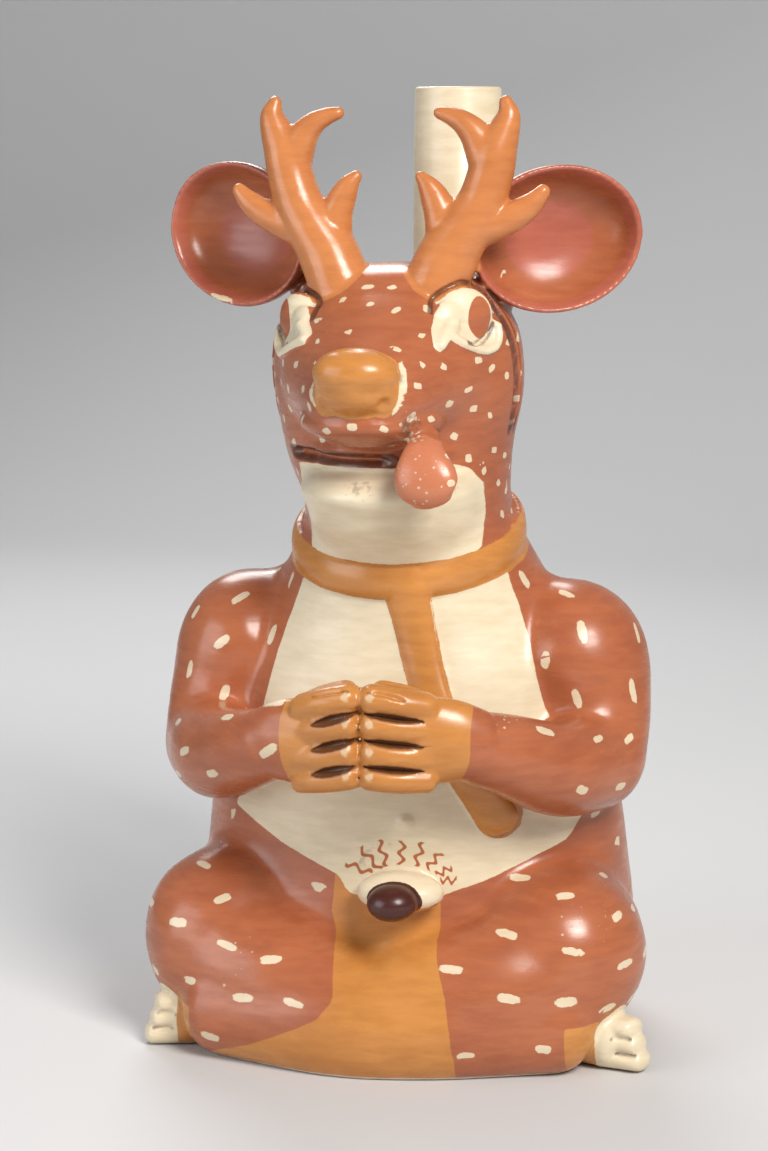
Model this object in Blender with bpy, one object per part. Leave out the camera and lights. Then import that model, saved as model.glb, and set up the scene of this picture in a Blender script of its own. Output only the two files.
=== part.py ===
"""A seated deer effigy bottle in slip-painted ceramic: a hollow figure with a stirrup spout at its back."""

import math

import bmesh
import bpy
import numpy as np
from mathutils import Matrix, Vector
from mathutils.bvhtree import BVHTree

# Driving sizes, in metres
FIGURE_HEIGHT = 0.270
BODY_WALL = 0.0055
SPOUT_TOP = 0.273
SPOUT_RADIUS = 0.0132
SPOUT_FOOT_RADIUS = 0.0138
SPOUT_WALL = 0.0035
STIRRUP_RADIUS = 0.0118
STIRRUP_WALL = 0.0042
STIRRUP_HEIGHT = 0.206
STIRRUP_SETBACK = 0.065
STIRRUP_REACH = 0.027
STIRRUP_OFFSET = 0.002

# The grain at which the clay is modelled, in metres, and the triangles left on each skin
COARSE_CLAY = 0.0020
FINE_CLAY = 0.0010
INNER_CLAY = 0.0024
OUTER_TRIANGLES = 7200
INNER_TRIANGLES = 1300

# The figure's pose and carving are written in shares of its height: 270 of them, so 1 mm each at 0.270 m
SHARE = FIGURE_HEIGHT / 270
SIDES = (-1, 1)
# The head sits a little to one side of the seat's middle
MIDDLE = -2.5


def shares(*rows):
    """Rows of numbers written in shares of the height, as metres."""
    return np.array(rows, float) * SHARE


def smooth_path(stations, steps):
    """The stations joined by a Catmull-Rom curve, with this many steps to a span."""
    knots = np.vstack([2 * stations[0] - stations[1], stations, 2 * stations[-1] - stations[-2]])
    t = np.linspace(0, 1, steps, endpoint=False)[:, None]
    spans = []
    for a, b, c, d in zip(knots, knots[1:], knots[2:], knots[3:]):
        bend = 2 * b + (c - a) * t + (2 * a - 5 * b + 4 * c - d) * t**2 + (3 * b - a - 3 * c + d) * t**3
        spans.append(bend / 2)
    path = np.vstack([*spans, stations[-1:]])
    path[:, 3:] = np.maximum(path[:, 3:], stations[:, 3:].min() / 2)
    return path


def nose(end, inner, reach, rings=4):
    """The rings that round off an end of a path, drawn in like a quarter of an ellipse, with its tip last."""
    out = end[:3] - inner[:3]
    out = out / np.linalg.norm(out)
    turns = np.linspace(0, math.pi / 2, rings + 1)[1:, None]
    return np.hstack([end[:3] + out * reach * np.sin(turns), end[3:] * np.cos(turns)])


def skin(form, rings, tips):
    """A closed skin over rings of points, with a point at each tip."""
    loops = [[form.verts.new(point) for point in ring] for ring in rings]
    for near, far in zip(loops, loops[1:]):
        for corners in zip(near, near[1:] + near[:1], far[1:] + far[:1], far):
            form.faces.new(corners)
    for tip, loop in ((tips[0], loops[0][::-1]), (tips[1], loops[-1])):
        pole = form.verts.new(tip)
        for a, b in zip(loop, loop[1:] + loop[:1]):
            form.faces.new((a, b, pole))


def limb(form, stations, face=(1, 0, 0), reach=None, steps=5, sides=28):
    """A round-ended tube through the stations: x, y, z, its radius towards face and its radius across."""
    path = smooth_path(stations, steps)
    start = nose(path[0], path[1], path[0, 3:].min() if reach is None else reach)
    end = nose(path[-1], path[-2], path[-1, 3:].min() if reach is None else reach)
    path = np.vstack([start[::-1], path, end])
    tangent = np.gradient(path[:, :3], axis=0)
    tangent /= np.linalg.norm(tangent, axis=1)[:, None]
    across = np.array(face, float) - tangent * (tangent @ np.array(face, float))[:, None]
    across /= np.linalg.norm(across, axis=1)[:, None]
    deep = np.cross(tangent, across)
    angle = np.linspace(0, 2 * math.pi, sides, endpoint=False)[:, None]
    rings = [
        row[:3] + e1 * row[3] * np.cos(angle) + e2 * row[4] * np.sin(angle)
        for row, e1, e2 in zip(path[1:-1], across[1:-1], deep[1:-1])
    ]
    skin(form, rings, (path[0, :3], path[-1, :3]))


def egg(form, centre, radii, axes=((1, 0, 0), (0, 1, 0), (0, 0, 1))):
    """An ellipsoid at the centre, its radii along the three axes."""
    place = Matrix.Translation(centre) @ Matrix(axes).transposed().to_4x4() @ Matrix.Diagonal([*radii, 1])
    bmesh.ops.create_uvsphere(form, u_segments=24, v_segments=16, radius=1, matrix=place)


def thing_from(name, form):
    mesh = bpy.data.meshes.new(name)
    form.to_mesh(mesh)
    form.free()
    thing = bpy.data.objects.new(name, mesh)
    bpy.context.scene.collection.objects.link(thing)
    return thing


def settled(thing):
    """Makes a thing's modifiers part of its mesh."""
    bpy.context.view_layer.update()
    graph = bpy.context.evaluated_depsgraph_get()
    mesh = bpy.data.meshes.new_from_object(thing.evaluated_get(graph))
    thing.modifiers.clear()
    thing.data = mesh
    return thing


def fused(thing, grain, strokes):
    """Presses overlapping forms into one skin, as with wet clay, and rubs it smooth."""
    press = thing.modifiers.new("press", "REMESH")
    press.mode = "VOXEL"
    press.voxel_size = grain
    rub = thing.modifiers.new("rub", "SMOOTH")
    rub.factor = 0.5
    rub.iterations = strokes
    return settled(thing)


def thinned(thing, triangles):
    """Brings the skin down to about this many triangles, keeping them where it bends."""
    thing.data.calc_loop_triangles()
    thin = thing.modifiers.new("thin", "DECIMATE")
    thin.ratio = min(1, triangles / len(thing.data.loop_triangles))
    thin.use_collapse_triangulate = True
    return settled(thing)


def sliced(thing, height):
    """Cuts the thing off flat at this height, keeping what is above it, and closes the cut."""
    form = bmesh.new()
    form.from_mesh(thing.data)
    whole = form.verts[:] + form.edges[:] + form.faces[:]
    bmesh.ops.bisect_plane(form, geom=whole, plane_co=(0, 0, height), plane_no=(0, 0, 1), clear_inner=True)
    rim = [edge for edge in form.edges if edge.is_boundary]
    bmesh.ops.holes_fill(form, edges=rim, sides=0)
    bmesh.ops.recalc_face_normals(form, faces=form.faces)
    form.to_mesh(thing.data)
    form.free()
    return thing


def combined(thing, operation, tool):
    """Cuts the tool from the thing, or joins it on, and removes the tool."""
    step = thing.modifiers.new(operation.lower(), "BOOLEAN")
    step.operation = operation
    step.object = tool
    settled(thing)
    bpy.data.objects.remove(tool)
    return thing


for old in list(bpy.data.objects):
    bpy.data.objects.remove(old)


# Trunk, neck and skull: middle of the width and of the depth, height, half width, half depth
TRUNK = shares(
    (0, 12, 2, 58, 50),
    (0, 14, 22, 65, 53),
    (0, 15, 50, 63, 51),
    (0, 13, 78, 59, 48),
    (0, 11, 104, 52, 44),
    (0, 9, 122, 44, 39),
    (0, 6, 136, 36.5, 35.5),
    (0, 3.5, 146, 31, 33),
)
HEAD = shares(
    (1, 2, 146, 28.5, 33),
    (0, 1, 160, 30, 33),
    (MIDDLE + 0.5, 1, 176, 34, 34),
    (MIDDLE, 1, 192, 36, 34),
    (MIDDLE, 2, 204, 34.5, 33),
    (MIDDLE, 3, 212, 30, 29),
)
CROWN_RISE = 11 * SHARE


def body(form, inset=0.0):
    """Trunk, head, shoulders and legs. With the inset it is the hollow inside them."""
    pinch = np.array((0, 0, 0, inset, inset))
    limb(form, TRUNK - pinch, sides=48)
    limb(form, HEAD - pinch, reach=CROWN_RISE - inset, sides=48)
    muzzle = shares(
        (MIDDLE, -4, 195, 33, 26),
        (MIDDLE, -22, 193, 29, 23.5),
        (MIDDLE + 0.5, -38, 189.5, 21, 17.5),
        (MIDDLE + 1, -51, 187, 15, 12.5),
    )
    limb(form, muzzle - pinch, reach=6 * SHARE - inset)
    for side in SIDES:
        shoulder = shares(
            (side * 36, 9, 118, 15, 16),
            (side * 48, 6, 111, 22, 21),
            (side * 54, 1, 96, 18, 17.5),
            (side * 56, -6, 84, 15.5, 15),
        )
        limb(form, shoulder - pinch, face=(0, 1, 0))
        thigh = shares(
            (side * 30, 12, 29, 26, 28),
            (side * 43, -8, 30, 25.5, 27),
            (side * 48, -20, 29.5, 25.5, 25.5),
        )
        limb(form, thigh - pinch, face=(0, 0, 1))
        shin = shares(
            (side * 48, -22, 26, 23, 24),
            (side * 32, -33, 21, 21, 20),
            (side * 13, -39, 16, 19, 17),
        )
        limb(form, shin - pinch, face=(0, 0, 1))


def arm(form, side):
    """The forearm, from the elbow round to the wrist in front of the chest."""
    wrist = 93.5 + side
    forearm = shares(
        (side * 56, -8, 83, 14.5, 15),
        (side * 49, -27, 84, 13, 13.5),
        (side * 38, -42, wrist - 4, 11, 11.6),
        (side * 28, -51, wrist, 8.5, 10.2),
    )
    limb(form, forearm, face=(0, 1, 0))


def seat(form):
    """The clay that fills in under the thighs, and the crossed ankles in front of them."""
    egg(form, shares(0, -4, 14), shares(67, 50, 22))
    ankles = shares((-45, -40, 12, 13, 12), (0, -46, 12, 17, 14), (50, -36, 12, 13, 12))
    limb(form, ankles, face=(0, 0, 1))


# The fingers from the top one down: height of the tip, half thickness, and how much lower the knuckle is
FINGERS = ((109.5, 4.0, 2.8), (102.4, 4.5, 2.3), (94.6, 4.4, 1.8), (88, 3.7, 1.4))


def hand(form, side):
    """A hand on edge, its four fingers stacked and pressed tip to tip with the other hand's."""
    wrist = 93.5 + side
    back = shares(
        (side * 30 + 1, -51, wrist + 0.5, 7.5, 9.8),
        (side * 23 + 1, -55, wrist + 2, 7, 11.7),
        (side * 15 + 1, -58.5, wrist + 3, 6, 12.1),
    )
    limb(form, back, face=(0, 1, 0), reach=4 * SHARE)
    for tip, height, drop in FINGERS:
        knuckle = tip - drop - 0.9 * (1 - side)
        bones = shares(
            (side * 17 + 1, -59, knuckle, 4.8, height),
            (side * 10 + 1, -62.5, (tip + knuckle) / 2, 5, height + 0.3),
            (side * 2.6 + 1, -64.5, tip, 4.6, height),
        )
        limb(form, bones, face=(0, 1, 0), reach=3 * SHARE, sides=12)
    thumb = shares(
        (side * 19 + 1, -54, 104 + 0.5 * side, 4, 3.5),
        (side * 12 + 1, -58, 107.8 + 0.5 * side, 4.2, 3.6),
        (side * 5 + 1, -60, 110 + 0.2 * side, 4.2, 3.6),
    )
    limb(form, thumb, face=(0, 1, 0), reach=3.4 * SHARE, sides=12)


def finger_slots(form, surface):
    """Three leaf-shaped cuts between the fingers of each hand, along the skin of its front."""
    for side in SIDES:
        reach = 16.5 if side > 0 else 13
        for (upper, _, fall), (lower, _, drop) in zip(FINGERS, FINGERS[1:]):
            middle = (upper + lower) / 2
            sink = (fall + drop) / 2 + 0.9 * (1 - side)
            rows = []
            for share, swell in ((0.08, 0.2), (0.3, 0.8), (0.55, 1), (0.8, 0.8), (1, 0.2)):
                start = shares(side * reach * share + 1, -90, middle - sink * share)
                half = (0.7 if side > 0 else 0.95) * swell
                rows.append((*surface.under(start, (0, 1, 0)), 2 * swell * SHARE, half * SHARE))
            limb(form, np.array(rows), face=(0, 1, 0), reach=0.3 * SHARE, steps=1, sides=6)


def foot(form, side):
    """A foot on its side under the far knee, with its toes pointing out."""
    out = 70.5 + 3.5 * side
    ahead = 2.5 * (side - 1)
    sole = shares(
        (side * (out - 26), ahead - 21, 9, 9, 9),
        (side * (out - 15), ahead - 26, 8.5, 9, 9.5),
        (side * (out - 8), ahead - 29.5, 7.5, 8, 8),
    )
    limb(form, sole, face=(0, 0, 1), reach=4 * SHARE)
    for toe in range(3):
        height = 2.8 + 4.6 * toe
        tip = side * (out - 1.4 * toe)
        bones = shares((side * (out - 11), ahead - 28, height, 3.4, 6), (tip, ahead - 32, height, 3.1, 4.6))
        limb(form, bones, face=(0, 0, 1), reach=2.2 * SHARE, sides=12)


def mouth(form):
    """The upper lip and the lower jaw, two rounded slabs with the mouth between, and the tongue hung out."""
    egg(form, shares(MIDDLE + 0.5, -35, 181.5), shares(20, 22.5, 7))
    egg(form, shares(MIDDLE + 2, -20, 160.5), shares(26, 28.5, 8))
    egg(form, shares(MIDDLE + 1, -20, 171), shares(21, 19, 9))
    egg(form, shares(MIDDLE + 2.5, -14, 154.5), shares(25.5, 29, 13))
    tongue = shares(
        (15, -44, 178.5, 3.4, 2.6),
        (15.6, -51, 174.5, 5.8, 3.1),
        (16.3, -53.5, 169.5, 8.4, 3.6),
        (17.2, -54, 165, 8.4, 3.8),
        (18.2, -53, 161.8, 5.8, 3.2),
    )
    limb(form, tongue, face=(1, 0, 0), reach=2 * SHARE, sides=16)


def muffle(form):
    """The nose pad, with the nostrils' wings under it."""
    egg(form, shares(MIDDLE, -55, 195.6), shares(12, 9, 7))
    egg(form, shares(MIDDLE, -54, 190.5), shares(9.5, 8.5, 6.5))
    for side in SIDES:
        egg(form, shares(MIDDLE + side * 7.5, -52, 190.5), shares(4, 7.5, 6))


def ear(form, side):
    """A deep oval dish on the corner of the crown, open towards the front."""
    turn = math.radians(24)
    lean = math.radians(12)
    out = np.array((side * math.cos(turn), math.sin(turn), 0))
    front = np.array((side * math.sin(turn), -math.cos(turn), 0))
    rise = np.array((0, 0, 1))
    long = out * math.cos(lean) + rise * math.sin(lean)
    short = rise * math.cos(lean) - out * math.sin(lean)
    # The wall, from the middle of its back over the rim to the middle of its hollow: radius and depth
    wall = [(0.0, 13), (0.4, 11.8), (0.72, 8.2), (0.93, 3), (1.0, -2), (0.985, -4), (0.93, -3.4)]
    wall += [(0.82, 1.8), (0.62, 5.6), (0.34, 8), (0.0, 8.8)]
    centre = shares(MIDDLE - 1.1 + side * 45.4, 3, 230.5 - 0.4 * (1 + side))
    angle = np.linspace(0, 2 * math.pi, 28, endpoint=False)[:, None]
    rings = [
        centre + (long * 25 * r * np.cos(angle) + short * 20.5 * r * np.sin(angle) - front * depth) * SHARE
        for r, depth in wall
    ]
    skin(form, rings[1:-1], (rings[0][0], rings[-1][0]))
    root = shares((MIDDLE + side * 22, 5, 211, 10, 9), (MIDDLE + side * 34, 14.3, 224, 5.5, 5.5))
    limb(form, root, face=(0, 1, 0), reach=3 * SHARE, sides=14)


def antler(form, side):
    """A beam with three tines: one curving in near the top, and one to each side lower down."""

    def branch(*rows):
        stations = [(MIDDLE + side * out, deep, height, r, r) for out, deep, height, r in rows]
        limb(form, shares(*stations), face=(0, 1, 0), sides=14)

    branch(
        (12, -14, 212, 10),
        (14.8, -14, 220, 8.9),
        (17.8, -13, 226.5, 8.5),
        (21.5, -13, 232.5, 7.6),
        (25.7, -12.5, 239.5, 6.8),
        (28.3, -12, 247, 6.5),
        (30, -12, 254, 6.1),
        (32.3, -12, 259.5, 4.7),
        (33.6, -12, 264, 3.5),
        (32.8, -12, 267.5, 2.1),
    )
    branch(
        (27.5, -12, 252.5, 5.7),
        (24.8, -12.5, 258, 4.6),
        (21.5, -13, 261.6, 3.5),
        (18, -13, 263.5, 2.6),
        (14.4, -13, 264.6, 1.8),
    )
    branch(
        (17.5, -12.5, 226, 7),
        (16.2, -12.5, 231, 5.7),
        (14.9, -13, 237, 4.7),
        (13, -13, 241.8, 4),
        (11, -13.5, 245.2, 2.9),
        (9.2, -13.5, 247.2, 1.8),
    )
    branch(
        (22, -12.5, 231.5, 6.2),
        (26, -12.3, 233, 5.5),
        (31, -12, 234.7, 4.8),
        (36.2, -12, 237, 4.1),
        (40.5, -12, 240, 3.2),
        (43.4, -12, 243.2, 2.1),
    )


def stirrup_path():
    """The handle's middle line: out of the back of the head, over the spout's foot and down into the back."""
    behind = STIRRUP_SETBACK
    loop = [
        (20 * SHARE, 172 * SHARE),
        (HEAD[2, 1] + HEAD[2, 4] + 3 * SHARE, 181 * SHARE),
        (behind - 0.62 * STIRRUP_REACH, STIRRUP_HEIGHT - 0.25 * STIRRUP_REACH),
        (behind, STIRRUP_HEIGHT),
        (behind + 0.62 * STIRRUP_REACH, STIRRUP_HEIGHT - 0.25 * STIRRUP_REACH),
        (behind + STIRRUP_REACH, STIRRUP_HEIGHT - STIRRUP_REACH),
        (behind + STIRRUP_REACH - 5 * SHARE, 147 * SHARE),
        (TRUNK[4, 1] + TRUNK[4, 4] + 17 * SHARE, 122 * SHARE),
        (TRUNK[4, 1] + TRUNK[4, 4] - 8 * SHARE, 104 * SHARE),
    ]
    return [(STIRRUP_OFFSET, depth, height) for depth, height in loop]


def stirrup(form, radius):
    limb(form, np.array([(*place, radius, radius) for place in stirrup_path()]), face=(1, 0, 0), steps=5)


def spout(name, foot_radius, lip_radius, top):
    """A round tube that stands on the handle and narrows slightly on its way up."""
    form = bmesh.new()
    low = STIRRUP_HEIGHT
    middle = Vector((STIRRUP_OFFSET, STIRRUP_SETBACK, (low + top) / 2))
    bmesh.ops.create_cone(
        form,
        cap_ends=True,
        segments=36,
        radius1=foot_radius,
        radius2=lip_radius,
        depth=top - low,
        matrix=Matrix.Translation(middle),
    )
    return thing_from(name, form)


class Skin:
    """The figure's outer skin, for laying bands, lids and knobs on it."""

    def __init__(self, thing):
        form = bmesh.new()
        form.from_mesh(thing.data)
        self.tree = BVHTree.FromBMesh(form)
        form.free()

    def under(self, start, way, proud=0.0):
        """The place on the skin that is seen from start along way, lifted off it by proud."""
        way = Vector(way).normalized()
        place = self.tree.ray_cast(Vector(start), way)[0]
        return np.array(place - way * proud)


def eye(form, surface, side):
    """A bulging eye that ends in a tear duct, with a rolled lower lid."""
    turn = math.radians(42)
    out = np.array((side * math.cos(turn), math.sin(turn), 0))
    front = np.array((side * math.sin(turn), -math.cos(turn), 0))
    rise = np.array((0, 0, 1))
    lower = 0.5 * (1 - side)
    middle = shares(MIDDLE + side * (26 + 0.8 * lower), lower - 24, 208.5 - 1.5 * lower) + front * 30 * SHARE

    def spot(u, v, proud):
        return surface.under(middle + (out * u + rise * v) * SHARE, -front, proud * SHARE)

    egg(form, spot(1, 1, -1.8), np.array((9, 7.6, 4.4)) * SHARE, (out, rise, front))
    corner = ((-6, -2, 2.4), (-9.5, -5, 1.9), (-12, -7, 1.3))
    duct = [(*spot(u, v, -0.3), r * SHARE, r * SHARE) for u, v, r in corner]
    limb(form, np.array(duct), face=front, sides=10)
    line = ((-12, -7), (-7, -6), (-2.5, -8.2), (2, -9.4), (6.5, -9), (9.6, -6.5), (10.6, -2))
    lid = [(*spot(u, v, 0.5), 1.3 * SHARE, 1.3 * SHARE) for u, v in line]
    limb(form, np.array(lid), face=front, steps=2, sides=8)


def collar(form, surface):
    """A flat band round the foot of the neck, low in front and high behind."""
    rows = []
    for turn in np.linspace(-math.pi, math.pi, 29):
        height = (135.5 + 9.5 * (1 - math.cos(turn))) * SHARE
        outward = np.array((math.sin(turn), -math.cos(turn), 0))
        start = np.array((0, 4 * SHARE, height)) + outward * 0.5 * FIGURE_HEIGHT
        rows.append((*surface.under(start, -outward, 0.3 * SHARE), 5.2 * SHARE, 2 * SHARE))
    limb(form, np.array(rows), face=(0, 0, 1), reach=2 * SHARE, steps=1, sides=12)


def rope(form, surface):
    """The band that hangs from the collar, passes behind the hands and ends beside the navel."""
    route = (
        (6, 133, 6.4, 0.3),
        (8, 124, 5.8, 0.3),
        (11, 112, 5.4, 0.3),
        (15, 100, 5.4, 0.6),
        (20.5, 88, 5.4, 1),
        (27, 78, 5.8, 1.6),
        (32.5, 69.5, 6.2, 2),
    )
    rows = [
        (*surface.under(shares(x, -60, z), (0, 1, 0), proud * SHARE), (2 + proud / 2) * SHARE, half * SHARE)
        for x, z, half, proud in route
    ]
    limb(form, np.array(rows), face=(0, 1, 0), reach=5 * SHARE, sides=12)


def belly(form, surface):
    """The navel, and the knob with its cushion between the thighs."""
    navel = surface.under(shares(6.7, -60, 68), (0, 1, 0), -1.2 * SHARE)
    egg(form, navel, np.array((3, 2.4, 3)) * SHARE)
    egg(form, shares(7, -41, 50), shares(13, 9, 6.2))
    egg(form, shares(6.7, -50, 49), shares(7.2, 7, 5.2))


def ceramic():
    """Red-brown slip, rubbed to a gloss before firing."""
    made = bpy.data.materials.new("burnished_slip")
    made.use_nodes = True
    shader = made.node_tree.nodes["Principled BSDF"]
    shader.inputs["Base Color"].default_value = (0.30, 0.085, 0.040, 1)
    shader.inputs["Roughness"].default_value = 0.28
    shader.inputs["Metallic"].default_value = 0.0
    return made


# The main masses come first, and the skin they make carries the bands and the eyes
trunk = bmesh.new()
body(trunk)
seat(trunk)
trunk = fused(thing_from("trunk", trunk), COARSE_CLAY, 8)
surface = Skin(trunk)

masses = bmesh.new()
masses.from_mesh(trunk.data)
bpy.data.objects.remove(trunk)
for side in SIDES:
    arm(masses, side)
masses = fused(thing_from("masses", masses), COARSE_CLAY, 3)

details = bmesh.new()
details.from_mesh(masses.data)
bpy.data.objects.remove(masses)
mouth(details)
muffle(details)
collar(details, surface)
rope(details, surface)
belly(details, surface)
stirrup(details, STIRRUP_RADIUS)
for side in SIDES:
    eye(details, surface, side)
    ear(details, side)
    antler(details, side)
    hand(details, side)
    foot(details, side)
deer = fused(thing_from("deer_effigy_bottle", details), FINE_CLAY, 2)
deer = sliced(thinned(deer, OUTER_TRIANGLES), 0)
slots = bmesh.new()
finger_slots(slots, Skin(deer))
deer = combined(deer, "DIFFERENCE", thing_from("slots", slots))
deer = combined(deer, "UNION", spout("spout", SPOUT_FOOT_RADIUS, SPOUT_RADIUS, SPOUT_TOP))

# The hollow: the body's inside above a flat floor, the handle's bore and the spout's
inside = bmesh.new()
body(inside, BODY_WALL)
stirrup(inside, STIRRUP_RADIUS - STIRRUP_WALL)
hollow = sliced(thinned(fused(thing_from("hollow", inside), INNER_CLAY, 2), INNER_TRIANGLES), BODY_WALL)
deer = combined(deer, "DIFFERENCE", hollow)
bore = spout("bore", SPOUT_FOOT_RADIUS - SPOUT_WALL, SPOUT_RADIUS - SPOUT_WALL, SPOUT_TOP + SPOUT_WALL)
deer = combined(deer, "DIFFERENCE", bore)

deer.data.materials.clear()
deer.data.materials.append(ceramic())
deer.data.shade_smooth()
deer.data.set_sharp_from_angle(angle=math.radians(40))
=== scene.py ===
"""A seated deer effigy bottle in slip-painted, burnished ceramic, shaped and painted in the order a potter would."""

import math

import bpy
import numpy as np
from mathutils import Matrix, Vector


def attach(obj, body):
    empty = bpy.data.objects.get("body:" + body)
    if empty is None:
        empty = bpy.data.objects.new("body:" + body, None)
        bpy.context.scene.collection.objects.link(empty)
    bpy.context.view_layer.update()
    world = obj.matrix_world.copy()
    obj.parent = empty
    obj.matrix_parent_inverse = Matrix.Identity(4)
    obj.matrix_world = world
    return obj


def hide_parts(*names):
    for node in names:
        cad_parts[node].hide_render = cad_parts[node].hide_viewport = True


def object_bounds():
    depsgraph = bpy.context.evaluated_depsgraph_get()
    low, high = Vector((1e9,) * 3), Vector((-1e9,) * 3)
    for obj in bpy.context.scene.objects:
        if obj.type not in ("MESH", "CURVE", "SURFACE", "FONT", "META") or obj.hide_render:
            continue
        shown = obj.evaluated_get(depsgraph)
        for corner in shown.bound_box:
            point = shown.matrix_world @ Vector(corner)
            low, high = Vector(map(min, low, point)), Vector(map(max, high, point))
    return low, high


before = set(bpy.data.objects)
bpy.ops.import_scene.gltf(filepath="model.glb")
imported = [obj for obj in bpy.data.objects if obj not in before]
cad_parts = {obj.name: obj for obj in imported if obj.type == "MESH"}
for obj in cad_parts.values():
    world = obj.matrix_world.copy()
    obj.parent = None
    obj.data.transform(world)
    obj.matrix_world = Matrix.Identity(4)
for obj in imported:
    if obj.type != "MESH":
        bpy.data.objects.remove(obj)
cad_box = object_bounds()

# The view. A long lens stands a little to the figure's left and just above its eyes.
# The bottle is on a pale sweep, under a soft key from the right, a fill and a light from behind.
VIEW_TURN = math.radians(12)
VIEW_DISTANCE = 0.80
VIEW_HEIGHT = 0.258
VIEW_TILT = math.radians(8.9)
AIM_ASIDE = math.radians(0.47)


def camera():
    """Stands on a circle round the bottle and looks down a little, aimed just left of the axis."""
    lens = bpy.data.cameras.new("camera")
    lens.sensor_fit = "VERTICAL"
    lens.sensor_height = 36
    lens.lens = 87.58
    lens.clip_start = 0.01
    viewer = bpy.data.objects.new("camera", lens)
    viewer.location = (VIEW_DISTANCE * math.sin(VIEW_TURN), -VIEW_DISTANCE * math.cos(VIEW_TURN), VIEW_HEIGHT)
    viewer.rotation_euler = (math.pi / 2 - VIEW_TILT, 0, VIEW_TURN + AIM_ASIDE)
    bpy.context.scene.collection.objects.link(viewer)
    bpy.context.scene.camera = viewer


def soft_light(name, place, size, watts, tint=(1, 1, 1)):
    """A square softbox that faces the middle of the bottle."""
    light = bpy.data.lights.new(name, "AREA")
    light.size = size
    light.energy = watts
    light.color = tint
    lamp = bpy.data.objects.new(name, light)
    lamp.location = place
    lamp.rotation_euler = (Vector(place) - Vector((0, 0, 0.13))).to_track_quat("Z", "Y").to_euler()
    bpy.context.scene.collection.objects.link(lamp)


def mesh_object(name, points, faces):
    """Puts whole arrays of points and of triangles or quads into a new mesh object."""
    mesh = bpy.data.meshes.new(name)
    mesh.vertices.add(len(points))
    mesh.vertices.foreach_set("co", np.ascontiguousarray(points, np.float32).ravel())
    mesh.loops.add(faces.size)
    mesh.loops.foreach_set("vertex_index", np.ascontiguousarray(faces, np.int32).ravel())
    mesh.polygons.add(len(faces))
    mesh.polygons.foreach_set("loop_start", np.arange(0, faces.size, faces.shape[1], dtype=np.int32))
    mesh.update(calc_edges=True)
    thing = bpy.data.objects.new(name, mesh)
    bpy.context.scene.collection.objects.link(thing)
    return thing


def floor_sweep(half=1.6, bend=0.5, back=0.9):
    """A flat sheet that turns up in a quarter circle behind the bottle and ends as a wall."""
    turn = np.linspace(0, math.pi / 2, 24)
    depth = np.concatenate([[-half], back + bend * np.sin(turn), [back + bend]])
    height = np.concatenate([[0], bend * (1 - np.cos(turn)), [2.2]]) - 0.0004
    side = np.array([-half, half])
    points = np.stack(np.broadcast_arrays(side[None, :], depth[:, None], height[:, None]), axis=-1).reshape(-1, 3)
    row = np.arange(len(depth) - 1)[:, None] * 2
    sweep = mesh_object("floor", points, row + np.array([0, 1, 3, 2]))
    sweep.data.shade_smooth()
    paper = bpy.data.materials.new("pale_paper")
    paper.use_nodes = True
    nodes = paper.node_tree.nodes
    shader = nodes["Principled BSDF"]
    shader.inputs["Roughness"].default_value = 0.65
    fibre = nodes.new("ShaderNodeTexNoise")
    fibre.inputs["Scale"].default_value = 9
    tone = nodes.new("ShaderNodeMapRange")
    tone.inputs["To Min"].default_value = 0.60
    tone.inputs["To Max"].default_value = 0.64
    links = paper.node_tree.links
    links.new(fibre.outputs["Fac"], tone.inputs["Value"])
    links.new(tone.outputs["Result"], shader.inputs["Base Color"])
    sweep.data.materials.append(paper)


camera()
floor_sweep()
soft_light("key", (0.62, -0.70, 0.85), 0.42, 15.5, (1.0, 0.965, 0.92))
soft_light("fill", (-0.95, -0.75, 0.42), 0.8, 6.5, (0.93, 0.96, 1.0))
soft_light("behind", (-0.35, 0.75, 0.85), 0.5, 6.0)
world = bpy.data.worlds.new("room")
world.use_nodes = True
world.node_tree.nodes["Background"].inputs["Color"].default_value = (0.72, 0.74, 0.78, 1)
world.node_tree.nodes["Background"].inputs["Strength"].default_value = 0.30
bpy.context.scene.world = world
bpy.context.scene.view_settings.view_transform = "Standard"

# The body: trunk, neck, skull, shoulders and folded legs, thick-walled earthenware coiled or pressed in moulds.
# Each mass is a round-ended tube through a few stations, and wet clay fills the creases between them.
SIDES = (-1, 1)
# The head sits a little to one side of the seat's middle, in millimetres
MIDDLE = -2.5
CROWN_RISE = 11
WALL = 5.5
COARSE_GRAIN = 0.0013
FINE_GRAIN = 0.0007


def mm(*rows):
    """Rows of millimetres as an array in metres."""
    return np.array(rows, float) / 1000


def curve_through(stations, steps):
    """A Catmull-Rom curve through the stations: half of 2b + (c-a)t + (2a-5b+4c-d)t2 + (3b-a-3c+d)t3 per span."""
    knots = np.vstack([2 * stations[0] - stations[1], stations, 2 * stations[-1] - stations[-2]])
    a, b, c, d = (knots[i : len(knots) - 3 + i, None] for i in range(4))
    t = np.linspace(0, 1, steps, endpoint=False)[:, None]
    spans = (2 * b + (c - a) * t + (2 * a - 5 * b + 4 * c - d) * t**2 + (3 * b - a - 3 * c + d) * t**3) / 2
    path = np.vstack([spans.reshape(-1, stations.shape[1]), stations[-1:]])
    if stations.shape[1] > 3:
        path[:, 3:] = np.maximum(path[:, 3:], stations[:, 3:].min() / 2)
    return path


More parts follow.
